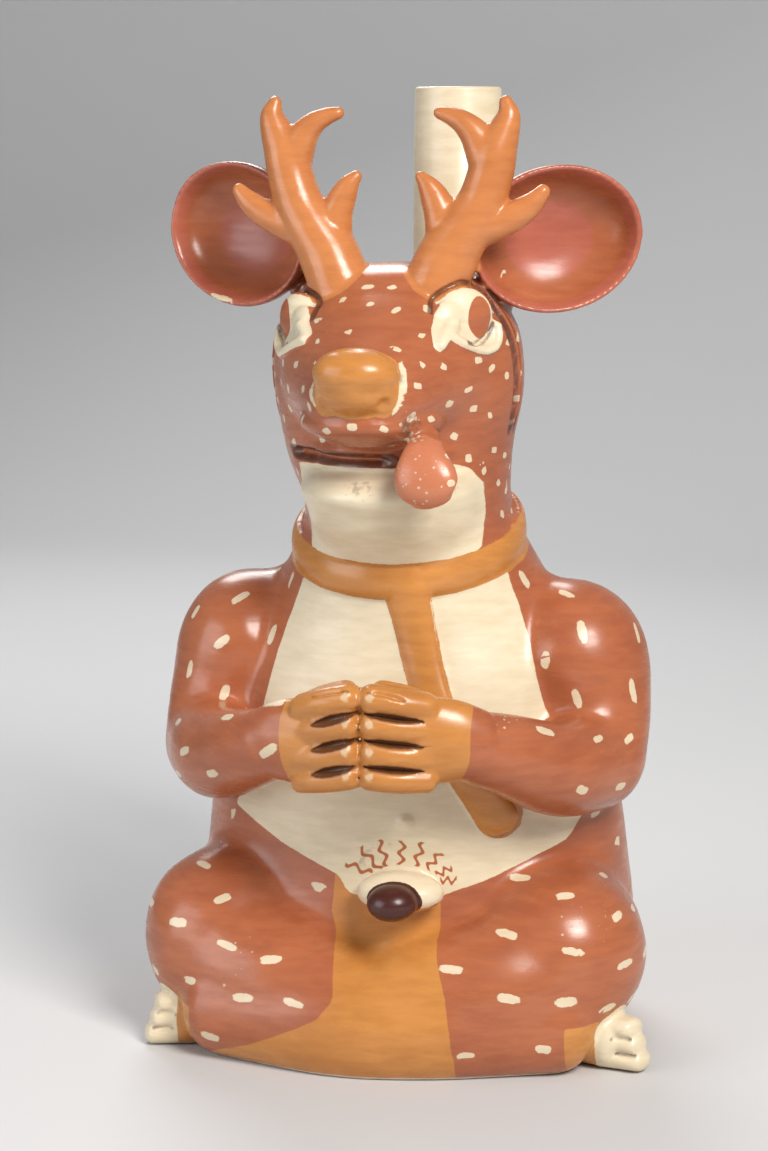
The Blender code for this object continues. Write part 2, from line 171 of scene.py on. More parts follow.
def closed_skin(rings, first, last):
    """A grid of rings of points, joined ring to ring and drawn to a tip at each end, as points and triangles."""
    count, spokes = rings.shape[:2]
    ring = np.arange(count - 1)[:, None] * spokes
    here = np.arange(spokes)
    after = (here + 1) % spokes
    a, b, c, d = ring + here, ring + after, ring + spokes + after, ring + spokes + here
    low_tip = np.full(spokes, count * spokes)
    far = (count - 1) * spokes
    fans = [np.stack([after, here, low_tip], -1), np.stack([far + here, far + after, low_tip + 1], -1)]
    walls = [np.stack([a, b, c], -1).reshape(-1, 3), np.stack([a, c, d], -1).reshape(-1, 3)]
    return np.vstack([rings.reshape(-1, 3), first, last]), np.vstack(walls + fans)


def rounded_end(end, inner, reach, rings=7):
    """Sections that close a path like a quarter of an ellipse: forward by its sine, narrower by its cosine."""
    out = end[:3] - inner[:3]
    out = out / np.linalg.norm(out)
    turns = np.linspace(0, math.pi / 2, rings + 1)[1:, None]
    return np.hstack([end[:3] + out * reach * np.sin(turns), end[3:] * np.cos(turns)])


def limb(stations, face=(1, 0, 0), reach=None, steps=14, sides=56):
    """A round-ended tube along a smooth path. A station is a place, its radius towards face and its radius across."""
    path = curve_through(stations, steps)
    start = rounded_end(path[0], path[1], path[0, 3:].min() if reach is None else reach)
    end = rounded_end(path[-1], path[-2], path[-1, 3:].min() if reach is None else reach)
    path = np.vstack([start[::-1], path, end])
    tangent = np.gradient(path[:, :3], axis=0)
    tangent /= np.linalg.norm(tangent, axis=1)[:, None]
    facing = np.array(face, float)
    across = facing - tangent * (tangent @ facing)[:, None]
    across /= np.linalg.norm(across, axis=1)[:, None]
    deep = np.cross(tangent, across)
    angle = np.linspace(0, 2 * math.pi, sides, endpoint=False)[None, :, None]
    rings = (
        path[1:-1, None, :3]
        + across[1:-1, None] * path[1:-1, None, 3:4] * np.cos(angle)
        + deep[1:-1, None] * path[1:-1, None, 4:5] * np.sin(angle)
    )
    return closed_skin(rings, path[0, :3], path[-1, :3])


def egg(centre, radii, axes=np.eye(3), rings=30, sides=56):
    """An ellipsoid: the unit sphere by latitude and longitude, stretched along three axes."""
    lat = np.linspace(-math.pi / 2, math.pi / 2, rings + 2)[:, None]
    lon = np.linspace(0, 2 * math.pi, sides, endpoint=False)
    level = np.broadcast_to(np.sin(lat), (rings + 2, sides))
    unit = np.stack([np.cos(lat) * np.cos(lon), np.cos(lat) * np.sin(lon), level], -1)
    shell = np.asarray(centre) + (unit * np.asarray(radii)) @ np.asarray(axes)
    return closed_skin(shell[1:-1], shell[0, 0], shell[-1, 0])


def settled(thing):
    """Makes the modifiers part of the mesh."""
    bpy.context.view_layer.update()
    graph = bpy.context.evaluated_depsgraph_get()
    mesh = bpy.data.meshes.new_from_object(thing.evaluated_get(graph))
    thing.modifiers.clear()
    thing.data = mesh
    return thing


def joined(name, forms):
    """Separate closed forms, as points and triangles, in one mesh object."""
    starts = np.cumsum([0] + [len(points) for points, _ in forms])
    points = np.vstack([points for points, _ in forms])
    return mesh_object(name, points, np.vstack([triangles + start for (_, triangles), start in zip(forms, starts)]))


def pressed(name, forms, grain, strokes):
    """Lays closed forms over each other, presses them into one skin of this grain and rubs it smooth."""
    thing = joined(name, forms)
    press = thing.modifiers.new("press", "REMESH")
    press.mode = "VOXEL"
    press.voxel_size = grain
    rub = thing.modifiers.new("rub", "SMOOTH")
    rub.factor = 0.5
    rub.iterations = strokes
    return settled(thing)


def skin_of(thing):
    """The object's skin as points and triangles, and the object is removed."""
    mesh = thing.data
    mesh.calc_loop_triangles()
    points = np.empty((len(mesh.vertices), 3), np.float32)
    mesh.vertices.foreach_get("co", points.ravel())
    triangles = np.empty((len(mesh.loop_triangles), 3), np.int32)
    mesh.loop_triangles.foreach_get("vertices", triangles.ravel())
    bpy.data.objects.remove(thing)
    return points, triangles


TRUNK = mm(
    (0, 12, 2, 58, 50),
    (0, 14, 22, 65, 53),
    (0, 15, 50, 63, 51),
    (0, 13, 78, 59, 48),
    (0, 11, 104, 52, 44),
    (0, 9, 122, 44, 39),
    (0, 6, 136, 36.5, 35.5),
    (0, 3.5, 146, 31, 33),
)
HEAD = mm(
    (1, 2, 146, 28.5, 33),
    (0, 1, 160, 30, 33),
    (MIDDLE + 0.5, 1, 176, 34, 34),
    (MIDDLE, 1, 192, 36, 34),
    (MIDDLE, 2, 204, 34.5, 33),
    (MIDDLE, 3, 212, 30, 29),
)
MUZZLE = mm(
    (MIDDLE, -4, 195, 33, 26),
    (MIDDLE, -22, 193, 29, 23.5),
    (MIDDLE + 0.5, -38, 189.5, 21, 17.5),
    (MIDDLE + 1, -51, 187, 15, 12.5),
)
SHOULDERS = {
    side: mm(
        (side * 36, 9, 118, 15, 16),
        (side * 48, 6, 111, 22, 21),
        (side * 54, 1, 96, 18, 17.5),
        (side * 56, -6, 84, 15.5, 15),
    )
    for side in SIDES
}
THIGHS = {
    side: mm((side * 30, 12, 29, 26, 28), (side * 43, -8, 30, 25.5, 27), (side * 48, -20, 29.5, 25.5, 25.5))
    for side in SIDES
}
SHINS = {
    side: mm((side * 48, -22, 26, 23, 24), (side * 32, -33, 21, 21, 20), (side * 13, -39, 16, 19, 17))
    for side in SIDES
}


def body(inset=0.0):
    """The big hollow masses. With the inset, in millimetres, they are the hollow inside them."""
    pinch = mm((0, 0, 0, inset, inset))
    forms = [
        limb(TRUNK - pinch, sides=160),
        limb(HEAD - pinch, reach=(CROWN_RISE - inset) / 1000, sides=160),
        limb(MUZZLE - pinch, reach=(6 - inset) / 1000, sides=120),
    ]
    for side in SIDES:
        forms.append(limb(SHOULDERS[side] - pinch, face=(0, 1, 0), sides=96))
        forms.append(limb(THIGHS[side] - pinch, face=(0, 0, 1), sides=96))
        forms.append(limb(SHINS[side] - pinch, face=(0, 0, 1), sides=96))
    return forms


# Under the thighs the clay is filled in solid down to the seat, with the crossed ankles in front
SEAT = egg(mm(0, -4, 14), mm(67, 50, 22), sides=160, rings=70)
ANKLES = limb(mm((-45, -40, 12, 13, 12), (0, -46, 12, 17, 14), (50, -36, 12, 13, 12)), face=(0, 0, 1))
trunk = pressed("trunk", [*body(), SEAT, ANKLES], COARSE_GRAIN, 19)


def touch(start, way, proud=0.0):
    """The place where a straight line first meets the bare trunk, lifted off it by proud millimetres."""
    way = Vector(way).normalized()
    hit, place, _, _ = trunk.ray_cast(Vector(start), way)
    if not hit:
        raise ValueError(f"nothing of the trunk lies that way from {tuple(start)}")
    return np.array(place - way * proud / 1000)


# The collar and its hanging end: a flat strap of clay laid round the foot of the neck, low in front.
# Its end passes behind the hands and widens to a tab beside the navel.
COLLAR_HALF = 5.2


def collar_height(turn):
    """Millimetres above the seat at this turn from the front: lowest there, and highest at the nape."""
    return 135.5 + 9.5 * (1 - np.cos(turn))


def collar():
    """The strap's middle line follows the trunk's skin, a third of a millimetre proud of it."""
    rows = []
    for turn in np.linspace(-math.pi, math.pi, 73):
        outward = np.array((math.sin(turn), -math.cos(turn), 0))
        start = np.array((0, 0.004, collar_height(turn) / 1000)) + outward * 0.135
        rows.append((*touch(start, -outward, 0.3), COLLAR_HALF / 1000, 0.002))
    return limb(np.array(rows), face=(0, 0, 1), reach=0.002, steps=2, sides=24)


# The hanging end: across, height, half width and how far it stands proud
STRAP_END = (
    (6, 133, 6.4, 0.3),
    (8, 124, 5.8, 0.3),
    (11, 112, 5.4, 0.3),
    (15, 100, 5.4, 0.6),
    (20.5, 88, 5.4, 1),
    (27, 78, 5.8, 1.6),
    (32.5, 69.5, 6.2, 2),
)


def strap_end():
    """The hanging end lies on the trunk's skin, a little thicker towards its tab."""
    rows = [
        (*touch(mm(x, -60, z), (0, 1, 0), proud), (2 + proud / 2) / 1000, half / 1000)
        for x, z, half, proud in STRAP_END
    ]
    return limb(np.array(rows), face=(0, 1, 0), reach=0.005, steps=8, sides=24)


strap_forms = [collar(), strap_end()]


# The face: lips, jaw and tongue, a nose pad and two bulging eyes, all laid on the skull and worked in.
# The tongue hangs from the left end of the mouth.
TONGUE = mm(
    (15, -44, 178.5, 3.4, 2.6),
    (15.6, -51, 174.5, 5.8, 3.1),
    (16.3, -53.5, 169.5, 8.4, 3.6),
    (17.2, -54, 165, 8.4, 3.8),
    (18.2, -53, 161.8, 5.8, 3.2),
)
NOSE = (
    (mm(MIDDLE, -55, 195.6), mm(12, 9, 7)),
    (mm(MIDDLE, -54, 190.5), mm(9.5, 8.5, 6.5)),
    (mm(MIDDLE - 7.5, -52, 190.5), mm(4, 7.5, 6)),
    (mm(MIDDLE + 7.5, -52, 190.5), mm(4, 7.5, 6)),
)
EYE_TURN = math.radians(42)
EYE_OUT = {side: np.array((side * math.cos(EYE_TURN), math.sin(EYE_TURN), 0)) for side in SIDES}
EYE_FRONT = {side: np.array((side * math.sin(EYE_TURN), -math.cos(EYE_TURN), 0)) for side in SIDES}
EYE_MIDDLE = {-1: mm(MIDDLE - 26.8, -23, 207), 1: mm(MIDDLE + 26, -24, 208.5)}
# The ball: its middle outwards and upwards from there, its half width and its half height
BALL = {-1: (2.1, 0.8, 8, 7.4), 1: (1, 1, 9, 7.6)}
UP = np.array((0, 0, 1.0))
# Places round an eye: millimetres outwards and upwards from its middle. SOCKET runs over the ball from the tear duct,
# and with UNDER it closes the outline of the white. The left eye's duct lies farther in and higher.
SOCKET = {
    -1: (
        *((-16.4, -2.2), (-13.5, -0.6), (-10.8, 0.9), (-8.3, 3.8), (-4.5, 6.3)),
        *((0, 7.5), (3.8, 7.5), (7.2, 6), (9.3, 3)),
    ),
    1: (
        *((-14.5, -4.8), (-13.6, -2.2), (-11, 1.2), (-7.8, 4.7), (-4, 7.3)),
        *((0, 8.6), (3.6, 8), (6.9, 5.6), (8.9, 2.4)),
    ),
}
UNDER = {
    -1: ((10.2, 0), (11.6, -1.8), (11.2, -6.4), (7.4, -9.5), (2, -9.9), (-5, -8.3), (-10.6, -6.4), (-15.6, -5.2)),
    1: (
        *((9.8, -0.4), (11.2, -1.4), (12.6, -2.2), (12.3, -6.4), (10.2, -9), (5.6, -10), (0, -9.1), (-5.4, -7)),
        *((-9.5, -5), (-11.6, -7.4), (-13.5, -8.2), (-14.7, -6.8)),
    ),
}
TEAR_DUCT = {
    -1: ((-8, -1, 2.2), (-12, -2.5, 1.7), (-15, -3.6, 1.3)),
    1: ((-6, -1.6, 2.4), (-10, -4.4, 1.9), (-13, -6.3, 1.4)),
}
LOWER_LID = {
    -1: ((-14.6, -3.9), (-10, -5.4), (-4.5, -7.3), (1.5, -8.6), (6.5, -8.4), (9.6, -6.3), (10.6, -2)),
    1: ((-12.6, -6.6), (-8.6, -4.7), (-5, -5.9), (0, -7.9), (5, -8.8), (9.3, -7.9), (11, -5.2), (11.3, -2.2)),
}


def beside_eye(side, out, up, proud):
    """The place on the skin that is this far outwards and upwards from an eye's middle."""
    start = EYE_MIDDLE[side] + EYE_FRONT[side] * 0.030 + (EYE_OUT[side] * out + UP * up) / 1000
    return touch(start, -EYE_FRONT[side], proud)


def lid_line(side):
    """The lower lid's roll, from the tear duct under the ball to the outer corner."""
    return np.array([(*beside_eye(side, out, up, 0.5), 0.0013, 0.0013) for out, up in LOWER_LID[side]])


def duct_line(side):
    """The tear duct, running down and inwards from the ball."""
    return np.array([(*beside_eye(side, out, up, -0.3), r / 1000, r / 1000) for out, up, r in TEAR_DUCT[side]])


def mouth():
    """Upper lip and jaw, two rounded slabs with a recess between them, and the tongue hung out of it."""
    return [
        egg(mm(MIDDLE + 0.5, -35, 181.5), mm(20, 22.5, 7)),
        egg(mm(MIDDLE + 2, -20, 160.5), mm(26, 28.5, 8)),
        egg(mm(MIDDLE + 1, -20, 171), mm(21, 19, 9)),
        egg(mm(MIDDLE + 2.5, -14, 154.5), mm(25.5, 29, 13)),
        egg(mm(MIDDLE + 2.5, -6, 147), mm(25.5, 30, 12)),
        limb(TONGUE, reach=0.002, sides=40),
    ]


LIDS = {side: lid_line(side) for side in SIDES}
DUCTS = {side: duct_line(side) for side in SIDES}
face_forms = mouth() + [egg(centre, radii) for centre, radii in NOSE]
for side in SIDES:
    ball_out, ball_up, wide, tall = BALL[side]
    ball = beside_eye(side, ball_out, ball_up, -1.8)
    face_forms.append(egg(ball, mm(wide, tall, 4.4), (EYE_OUT[side], UP, EYE_FRONT[side])))
    corner = beside_eye(side, -5.5, 0.2, -1.6)
    face_forms.append(egg(corner, mm(5.5, 4.6, 3), (EYE_OUT[side], UP, EYE_FRONT[side])))
    face_forms.append(limb(DUCTS[side], face=EYE_FRONT[side], sides=24))
    face_forms.append(limb(LIDS[side], face=EYE_FRONT[side], steps=6, sides=20))

# The ears: deep oval dishes of the same clay, turned forwards. Each is pinched out thin at its rim
# and luted to a corner of the crown by a short root.
EAR_TURN = math.radians(24)
EAR_LEAN = math.radians(12)
EAR_LONG = 25
EAR_SHORT = 20.5
# The dish's wall from the middle of its back, over the rim, to the middle of its hollow: radius and depth
EAR_WALL = (
    *((0.0, 13), (0.4, 11.8), (0.72, 8.2), (0.93, 3), (1.0, -2), (0.985, -4)),
    *((0.93, -3.4), (0.82, 1.8), (0.62, 5.6), (0.34, 8), (0.0, 8.8)),
)


def ear_axes(side):
    """Unit vectors along the dish's long half, along its short half and out of its mouth."""
    out = np.array((side * math.cos(EAR_TURN), math.sin(EAR_TURN), 0))
    front = np.array((side * math.sin(EAR_TURN), -math.cos(EAR_TURN), 0))
    long = out * math.cos(EAR_LEAN) + UP * math.sin(EAR_LEAN)
    short = UP * math.cos(EAR_LEAN) - out * math.sin(EAR_LEAN)
    return long, short, front


def ear_centre(side):
    return mm(MIDDLE - 1.1 + side * 45.4, 3, 230.5 - 0.4 * (1 + side))


def ear(side):
    """The wall's smooth profile carried round an oval, and a short root that joins it to the skull."""
    long, short, front = ear_axes(side)
    wall = curve_through(np.array(EAR_WALL, float), 6)
    radius = np.clip(wall[:, 0], 0, 1)[:, None, None]
    depth = wall[:, 1][:, None, None]
    angle = np.linspace(0, 2 * math.pi, 120, endpoint=False)[None, :, None]
    oval = long * EAR_LONG * radius * np.cos(angle) + short * EAR_SHORT * radius * np.sin(angle)
    rings = ear_centre(side) + (oval - front * depth) / 1000
    root = mm((MIDDLE + side * 22, 5, 211, 10, 9), (MIDDLE + side * 34, 14.3, 224, 5.5, 5.5))
    return [closed_skin(rings[1:-1], rings[0, 0], rings[-1, 0]), limb(root, face=(0, 1, 0), reach=0.003, sides=32)]


# The antlers: solid rolls of clay, each a beam with one tine near its top and one to each side lower down.
# They are rolled between the hands, drawn out to points and luted to the crown in front of the ears.
ANTLER_ROLLS = (
    (
        (12, -14, 212, 10),
        (14.8, -14, 220, 8.9),
        (17.8, -13, 226.5, 8.5),
        (21.5, -13, 232.5, 7.6),
        (25.7, -12.5, 239.5, 6.8),
        (28.3, -12, 247, 6.5),
        (30, -12, 254, 6.1),
        (32.3, -12, 259.5, 4.7),
        (33.6, -12, 264, 3.5),
        (32.8, -12, 267.5, 2.1),
    ),
    (
        (27.5, -12, 252.5, 5.7),
        (24.8, -12.5, 258, 4.6),
        (21.5, -13, 261.6, 3.5),
        (18, -13, 263.5, 2.6),
        (14.4, -13, 264.6, 1.8),
    ),
    (
        (17.5, -12.5, 226, 7),
        (16.2, -12.5, 231, 5.7),
        (14.9, -13, 237, 4.7),
        (13, -13, 241.8, 4),
        (11, -13.5, 245.2, 2.9),
        (9.2, -13.5, 247.2, 1.8),
    ),
    (
        (22, -12.5, 231.5, 6.2),
        (26, -12.3, 233, 5.5),
        (31, -12, 234.7, 4.8),
        (36.2, -12, 237, 4.1),
        (40.5, -12, 240, 3.2),
        (43.4, -12, 243.2, 2.1),
    ),
)


def antler(side):
    """The stations of the beam and its tines, mirrored about the head's middle."""
    return [
        np.array([mm(MIDDLE + side * out, deep, height, r, r) for out, deep, height, r in roll])
        for roll in ANTLER_ROLLS
    ]


ANTLERS = {side: antler(side) for side in SIDES}
horn_forms = [limb(roll, face=(0, 1, 0), sides=32) for side in SIDES for roll in ANTLERS[side]]
ear_forms = [form for side in SIDES for form in ear(side)]

# The arms and hands: forearms bent round in front of the chest, hands on edge and pressed tip to tip.
# The fingers are solid rolls, laid side by side and smoothed over at the knuckles.
ARMS = {
    side: mm(
        (side * 56, -8, 83, 14.5, 15),
        (side * 49, -27, 84, 13, 13.5),
        (side * 38, -42, 89.5 + side, 11, 11.6),
        (side * 28, -51, 93.5 + side, 8.5, 10.2),
    )
    for side in SIDES
}
HAND_MIDDLE = 1
# The fingers from the top one down: height of the tip, half thickness, and how much lower the knuckle is
FINGERS = ((109.5, 4.0, 2.8), (102.4, 4.5, 2.3), (94.6, 4.4, 1.8), (88, 3.7, 1.4))


def hand_rolls(side):
    """The stations of the hand's back, of four fingers with their tips at the middle, and of the thumb on top."""
    wrist = 93.5 + side

    def out(reach):
        return side * reach + HAND_MIDDLE

    back = mm(
        (out(30), -51, wrist + 0.5, 7.5, 9.8),
        (out(23), -55, wrist + 2, 7, 11.7),
        (out(15), -58.5, wrist + 3, 6, 12.1),
    )
    fingers = []
    for tip, height, drop in FINGERS:
        knuckle = tip - drop - 0.9 * (1 - side)
        fingers.append(
            mm(
                (out(17), -59, knuckle, 4.8, height),
                (out(10), -62.5, (tip + knuckle) / 2, 5, height + 0.3),
                (out(2.6), -64.5, tip, 4.6, height),
            )
        )
    thumb = mm(
        (out(19), -54, 104 + 0.5 * side, 4, 3.5),
        (out(12), -58, 107.8 + 0.5 * side, 4.2, 3.6),
        (out(5), -60, 110 + 0.2 * side, 4.2, 3.6),
    )
    return back, fingers, thumb


HANDS = {side: hand_rolls(side) for side in SIDES}
# The slots between the fingers: how far they reach out from the seam, and half their height at the widest
SLOT_REACH = {-1: 13, 1: 17}
SLOT_HALF = {-1: 1.25, 1: 0.85}
FINGER_GAPS = [(side, gap) for side in SIDES for gap in range(len(FINGERS) - 1)]


def slot_place(side, gap, share):
    """Across and height of the place at this share of the slot's reach, between a finger and the next lower one."""
    (upper, _, fall), (lower, _, drop) = FINGERS[gap : gap + 2]
    sink = (fall + drop) / 2 + 0.9 * (1 - side)
    return HAND_MIDDLE + side * SLOT_REACH[side] * share, (upper + lower) / 2 - sink * share


def hand(side):
    """The rolls of one hand, laid over each other."""
    back, fingers, thumb = HANDS[side]
    forms = [limb(back, face=(0, 1, 0), reach=0.004), limb(thumb, face=(0, 1, 0), reach=0.0034, sides=24)]
    return forms + [limb(finger, face=(0, 1, 0), reach=0.003, sides=24) for finger in fingers]


# The feet: small solid pads of clay, on their sides, pressed on under the knees.
# Each shows three toes outside the knee above it.


def foot_rolls(side):
    """The sole's and the toes' stations."""
    out = 70.5 + 3.5 * side
    ahead = 2.5 * (side - 1)
    sole = mm(
        (side * (out - 26), ahead - 21, 9, 9, 9),
        (side * (out - 15), ahead - 26, 8.5, 9, 9.5),
        (side * (out - 8), ahead - 29.5, 7.5, 8, 8),
    )
    toes = []
    for toe in range(3):
        height = 2.8 + 4.6 * toe
        tip = side * (out - 1.4 * toe)
        toes.append(mm((side * (out - 11), ahead - 28, height, 3.4, 6), (tip, ahead - 32, height, 3.1, 4.6)))
    return sole, toes


FEET = {side: foot_rolls(side) for side in SIDES}


def foot(side):
    """The sole with its toes laid along its end."""
    sole, toes = FEET[side]
    forms = [limb(sole, face=(0, 0, 1), reach=0.004)]
    return forms + [limb(toe, face=(0, 0, 1), reach=0.0022, sides=24) for toe in toes]


# The belly's small relief: the navel, and a knob on a cushion between the thighs.
# They are pellets of clay, pressed on and smoothed over at their edges.
CUSHION = (mm(7, -41, 49.8), mm(12.4, 9, 5.8))
KNOB = (mm(6.7, -50, 49), mm(7.2, 7, 5.2))
NAVEL = touch(mm(6.7, -60, 68), (0, 1, 0), -1.2)
belly_forms = [egg(NAVEL, mm(3, 2.4, 3)), egg(*CUSHION), egg(*KNOB)]

# The stirrup spout: a tube bent over from the head to the back, with an upright spout luted on its top.
# Both are hollow and open into the body, so the bottle fills and pours through them.
SPOUT_TOP = 273
SPOUT_RADIUS = 13.2
SPOUT_FOOT_RADIUS = 13.8
SPOUT_WALL = 3.5
SPOUT_BEHIND = 65
STIRRUP_TOP = 206
STIRRUP_ASIDE = 2
STIRRUP_RADIUS = 11.8
STIRRUP_WALL = 4.2
# Its middle line: how far behind the axis, and height
STIRRUP_LINE = (
    *((20, 172), (38, 181), (48.3, 199.25), (65, 206), (81.7, 199.25)),
    *((92, 179), (87, 147), (72, 122), (47, 104)),
)


def stirrup(radius):
    """The bent tube's stations at this radius, in the figure's middle plane."""
    return mm(*[(STIRRUP_ASIDE, deep, height, radius, radius) for deep, height in STIRRUP_LINE])


def turned(name, profile, sides=120):
    """A profile of radius and height, first and last on the axis, turned round the spout's axis."""
    radius, height = np.array(profile, float).T[:, :, None]
    angle = np.linspace(0, 2 * math.pi, sides, endpoint=False)
    x = STIRRUP_ASIDE + radius * np.cos(angle)
    y = SPOUT_BEHIND + radius * np.sin(angle)
    rings = np.stack([x, y, np.broadcast_to(height, x.shape)], -1) / 1000
    return mesh_object(name, *closed_skin(rings[1:-1], rings[0, 0], rings[-1, 0]))


def quarter(centre, radius, start, stop, steps=5):
    """Points of an arc in the profile's plane, from one angle in degrees to another."""
    angle = np.radians(np.linspace(start, stop, steps))
    return [(centre[0] + radius * c, centre[1] + radius * s) for c, s in zip(np.cos(angle), np.sin(angle))]


# The forms are worked together while the clay is soft: the arms first, so that the elbows run in softly,
# and then the finer forms over the whole figure. What is thin is rubbed less.


def combined(thing, operation, tool):
    """Cuts the tool from the thing, or joins it on, and removes the tool."""
    step = thing.modifiers.new(operation.lower(), "BOOLEAN")
    step.operation = operation
    step.solver = "MANIFOLD"
    step.object = tool
    settled(thing)
    bpy.data.objects.remove(tool)
    return thing


def block(name, low, high):
    """A closed box between two corners, in millimetres."""
    corner = np.stack(np.meshgrid([0, 1], [0, 1], [0, 1], indexing="ij"), -1).reshape(-1, 3)
    points = (np.array(low) + corner * (np.array(high) - np.array(low))) / 1000
    faces = np.array([(0, 1, 3, 2), (4, 6, 7, 5), (0, 4, 5, 1), (2, 3, 7, 6), (0, 2, 6, 4), (1, 5, 7, 3)])
    return mesh_object(name, points, faces)


arm_forms = [limb(ARMS[side], face=(0, 1, 0), sides=72) for side in SIDES]
trunk = pressed("masses", [skin_of(trunk), *arm_forms], COARSE_GRAIN, 7)
trunk = combined(trunk, "DIFFERENCE", block("below", (-120, -120, -90), (120, 160, -3)))
fine_forms = strap_forms + face_forms + ear_forms + horn_forms + belly_forms
for side in SIDES:
    fine_forms += hand(side) + foot(side)
fine_forms.append(limb(stirrup(STIRRUP_RADIUS), sides=72))
spout_foot = mm(*[(STIRRUP_ASIDE, SPOUT_BEHIND, z, SPOUT_FOOT_RADIUS, SPOUT_FOOT_RADIUS) for z in (200, 206, 212)])
fine_forms.append(limb(spout_foot, reach=0.004, sides=72))
bottle = pressed("painted_bottle", [skin_of(trunk), *fine_forms], FINE_GRAIN, 4)

# Tool marks, drawn and pressed before the clay is dry: mouth, nostrils, eye sockets, toes and cheek folds.
# They move the skin's points along its normals, so the form keeps its size.


def places(thing):
    """The points and the normals of a mesh object, as whole arrays."""
    count = len(thing.data.vertices)
    points, normals = np.empty((2, count, 3), np.float32)
    thing.data.vertices.foreach_get("co", points.ravel())
    thing.data.vertex_normals.foreach_get("vector", normals.ravel())
    return points.astype(float), normals.astype(float)


def to_line(points, line, reach):
    """Each point's distance to a dense line and the place along it, 0 to 1. Points beyond reach stay far away."""
    near = np.flatnonzero(np.all((points > line.min(0) - reach) & (points < line.max(0) + reach), axis=1))
    best = np.full(len(near), 1.0)
    which = np.zeros(len(near))
    some = points[near]
    for knot, centre in enumerate(line):
        distance = np.linalg.norm(some - centre, axis=1)
        closer = distance < best
        best[closer] = distance[closer]
        which[closer] = knot
    gap = np.full(len(points), 1.0)
    place = np.zeros(len(points))
    gap[near] = best
    place[near] = which / (len(line) - 1)
    return gap, place


def on_skin(thing, start, way):
    """The place where a straight line first meets the figure's skin."""
    hit, place, _, _ = thing.ray_cast(Vector(start), Vector(way).normalized())
    if not hit:
        raise ValueError(f"nothing of the figure lies that way from {tuple(start)}")
    return np.array(place)


def dense(rows, steps=24):
    """A smooth dense line through a few places."""
    return curve_through(np.array(rows, float), steps)[:, :3]


def scored(points, normals, line, half_width, depth, taper=0.2):
    """A tool drawn along the line: depth times (1 - (gap/width)2)2, less at both ends. Sizes in millimetres."""
    gap, place = to_line(points, line, half_width / 1000)
    lift = np.clip(np.minimum(place, 1 - place) / taper, 0, 1) ** 0.7
    width = half_width / 1000 * (0.35 + 0.65 * lift)
    bite = np.clip(1 - (gap / width) ** 2, 0, 1) ** 2
    points -= normals * (depth / 1000 * bite * lift)[:, None]


def dented(points, normals, centre, radius, depth):
    """A round dent: depth times (1 - (gap/radius)2)2. Sizes in millimetres."""
    gap = np.linalg.norm(points - centre, axis=1) / (radius / 1000)
    points -= normals * (depth / 1000 * np.clip(1 - gap**2, 0, 1) ** 2)[:, None]


def round_eye(side, route):
    """A line on the skin through places outwards and upwards from an eye's middle."""
    rows = []
    for out, up in route:
        start = EYE_MIDDLE[side] + EYE_FRONT[side] * 0.030 + (EYE_OUT[side] * out + UP * up) / 1000
        rows.append(on_skin(bottle, start, -EYE_FRONT[side]))
    return dense(rows, 12)


def cheek_fold(side, ahead=0.0):
    """A line from the ear's front root down the side of the cheek. ahead turns it towards the face, in degrees."""
    rows = []
    for turn, height in ((66, 219), (74, 213), (81, 201), (84, 188), (85, 176)):
        angle = math.radians(turn - ahead)
        way = np.array((side * math.sin(angle), -math.cos(angle), 0))
        axis = mm(MIDDLE, 0, height)
        rows.append(on_skin(bottle, axis + way * 0.0375, -way))
    return dense(rows)


def round_head(height, start, stop, middle=MIDDLE):
    """A level line round the front of the head, from one angle in degrees off the front to another."""
    rows = []
    for angle in np.radians(np.linspace(start, stop, 9)):
        way = np.array((math.sin(angle), -math.cos(angle), 0))
        rows.append(on_skin(bottle, mm(middle, -10, height) + way * 0.06, -way))
    return dense(rows)


def eased(thing, share, turns):
    """Rubs the skin smooth again where share, 0 to 1, is above nought."""
    rubbed_part = thing.vertex_groups.new(name="rubbed_part")
    for level in range(1, 11):
        rubbed_part.add(np.flatnonzero(np.round(share * 10) == level).tolist(), level / 10, "REPLACE")
    rub = thing.modifiers.new("rub", "SMOOTH")
    rub.factor = 0.5
    rub.iterations = turns
    rub.vertex_group = rubbed_part.name
    thing = settled(thing)
    thing.vertex_groups.clear()
    return thing


# The throat under the jaw is one smooth hollow, without the edges of the forms laid into it, and so is the nose.
# The share is nought at each region's edge and one a few millimetres inside it.
THROAT_STROKES = 260
NOSE_STROKES = 26
skin_points, _ = places(bottle)
x, y, z = skin_points.T * 1000
off_tongue = to_line(skin_points, dense(TONGUE[:, :3]), 0.014)[0] * 1000 - 8.5
edges = [(z - 140) / 3, (166.5 - z) / 2.5, (-6 - y) / 8, (29 - np.abs(x - 1)) / 5, off_tongue / 2]
bottle = eased(bottle, np.clip(np.min(edges, axis=0), 0, 1), THROAT_STROKES)
skin_points, _ = places(bottle)
x, y, z = skin_points.T * 1000
edges = [(z - 183) / 3, (206 - z) / 3, (-49 - y) / 3, (15 - np.abs(x - MIDDLE)) / 3]
bottle = eased(bottle, np.clip(np.min(edges, axis=0), 0, 1), NOSE_STROKES)

NOSTRILS = mm((-11.2, -58, 187.6), (6.2, -58, 187.6))
NOSTRIL_RADIUS = 3.0
NOSTRIL_DEPTH = 1.3
# Each mark: its line, half width, depth and taper, and how far the painted shade darkening its groove reaches
THUMB_LINE = ((2.5, 111.6), (8, 111), (13, 109.2))
SEAM_HEIGHTS = (112, 104, 96, 88, 85)


def front_line(route, start=-100, steps=24):
    """A line on the skin through places seen from the front: rows of across and height in millimetres."""
    return dense([on_skin(bottle, mm(across, start, height), (0, 1, 0)) for across, height in route], steps)


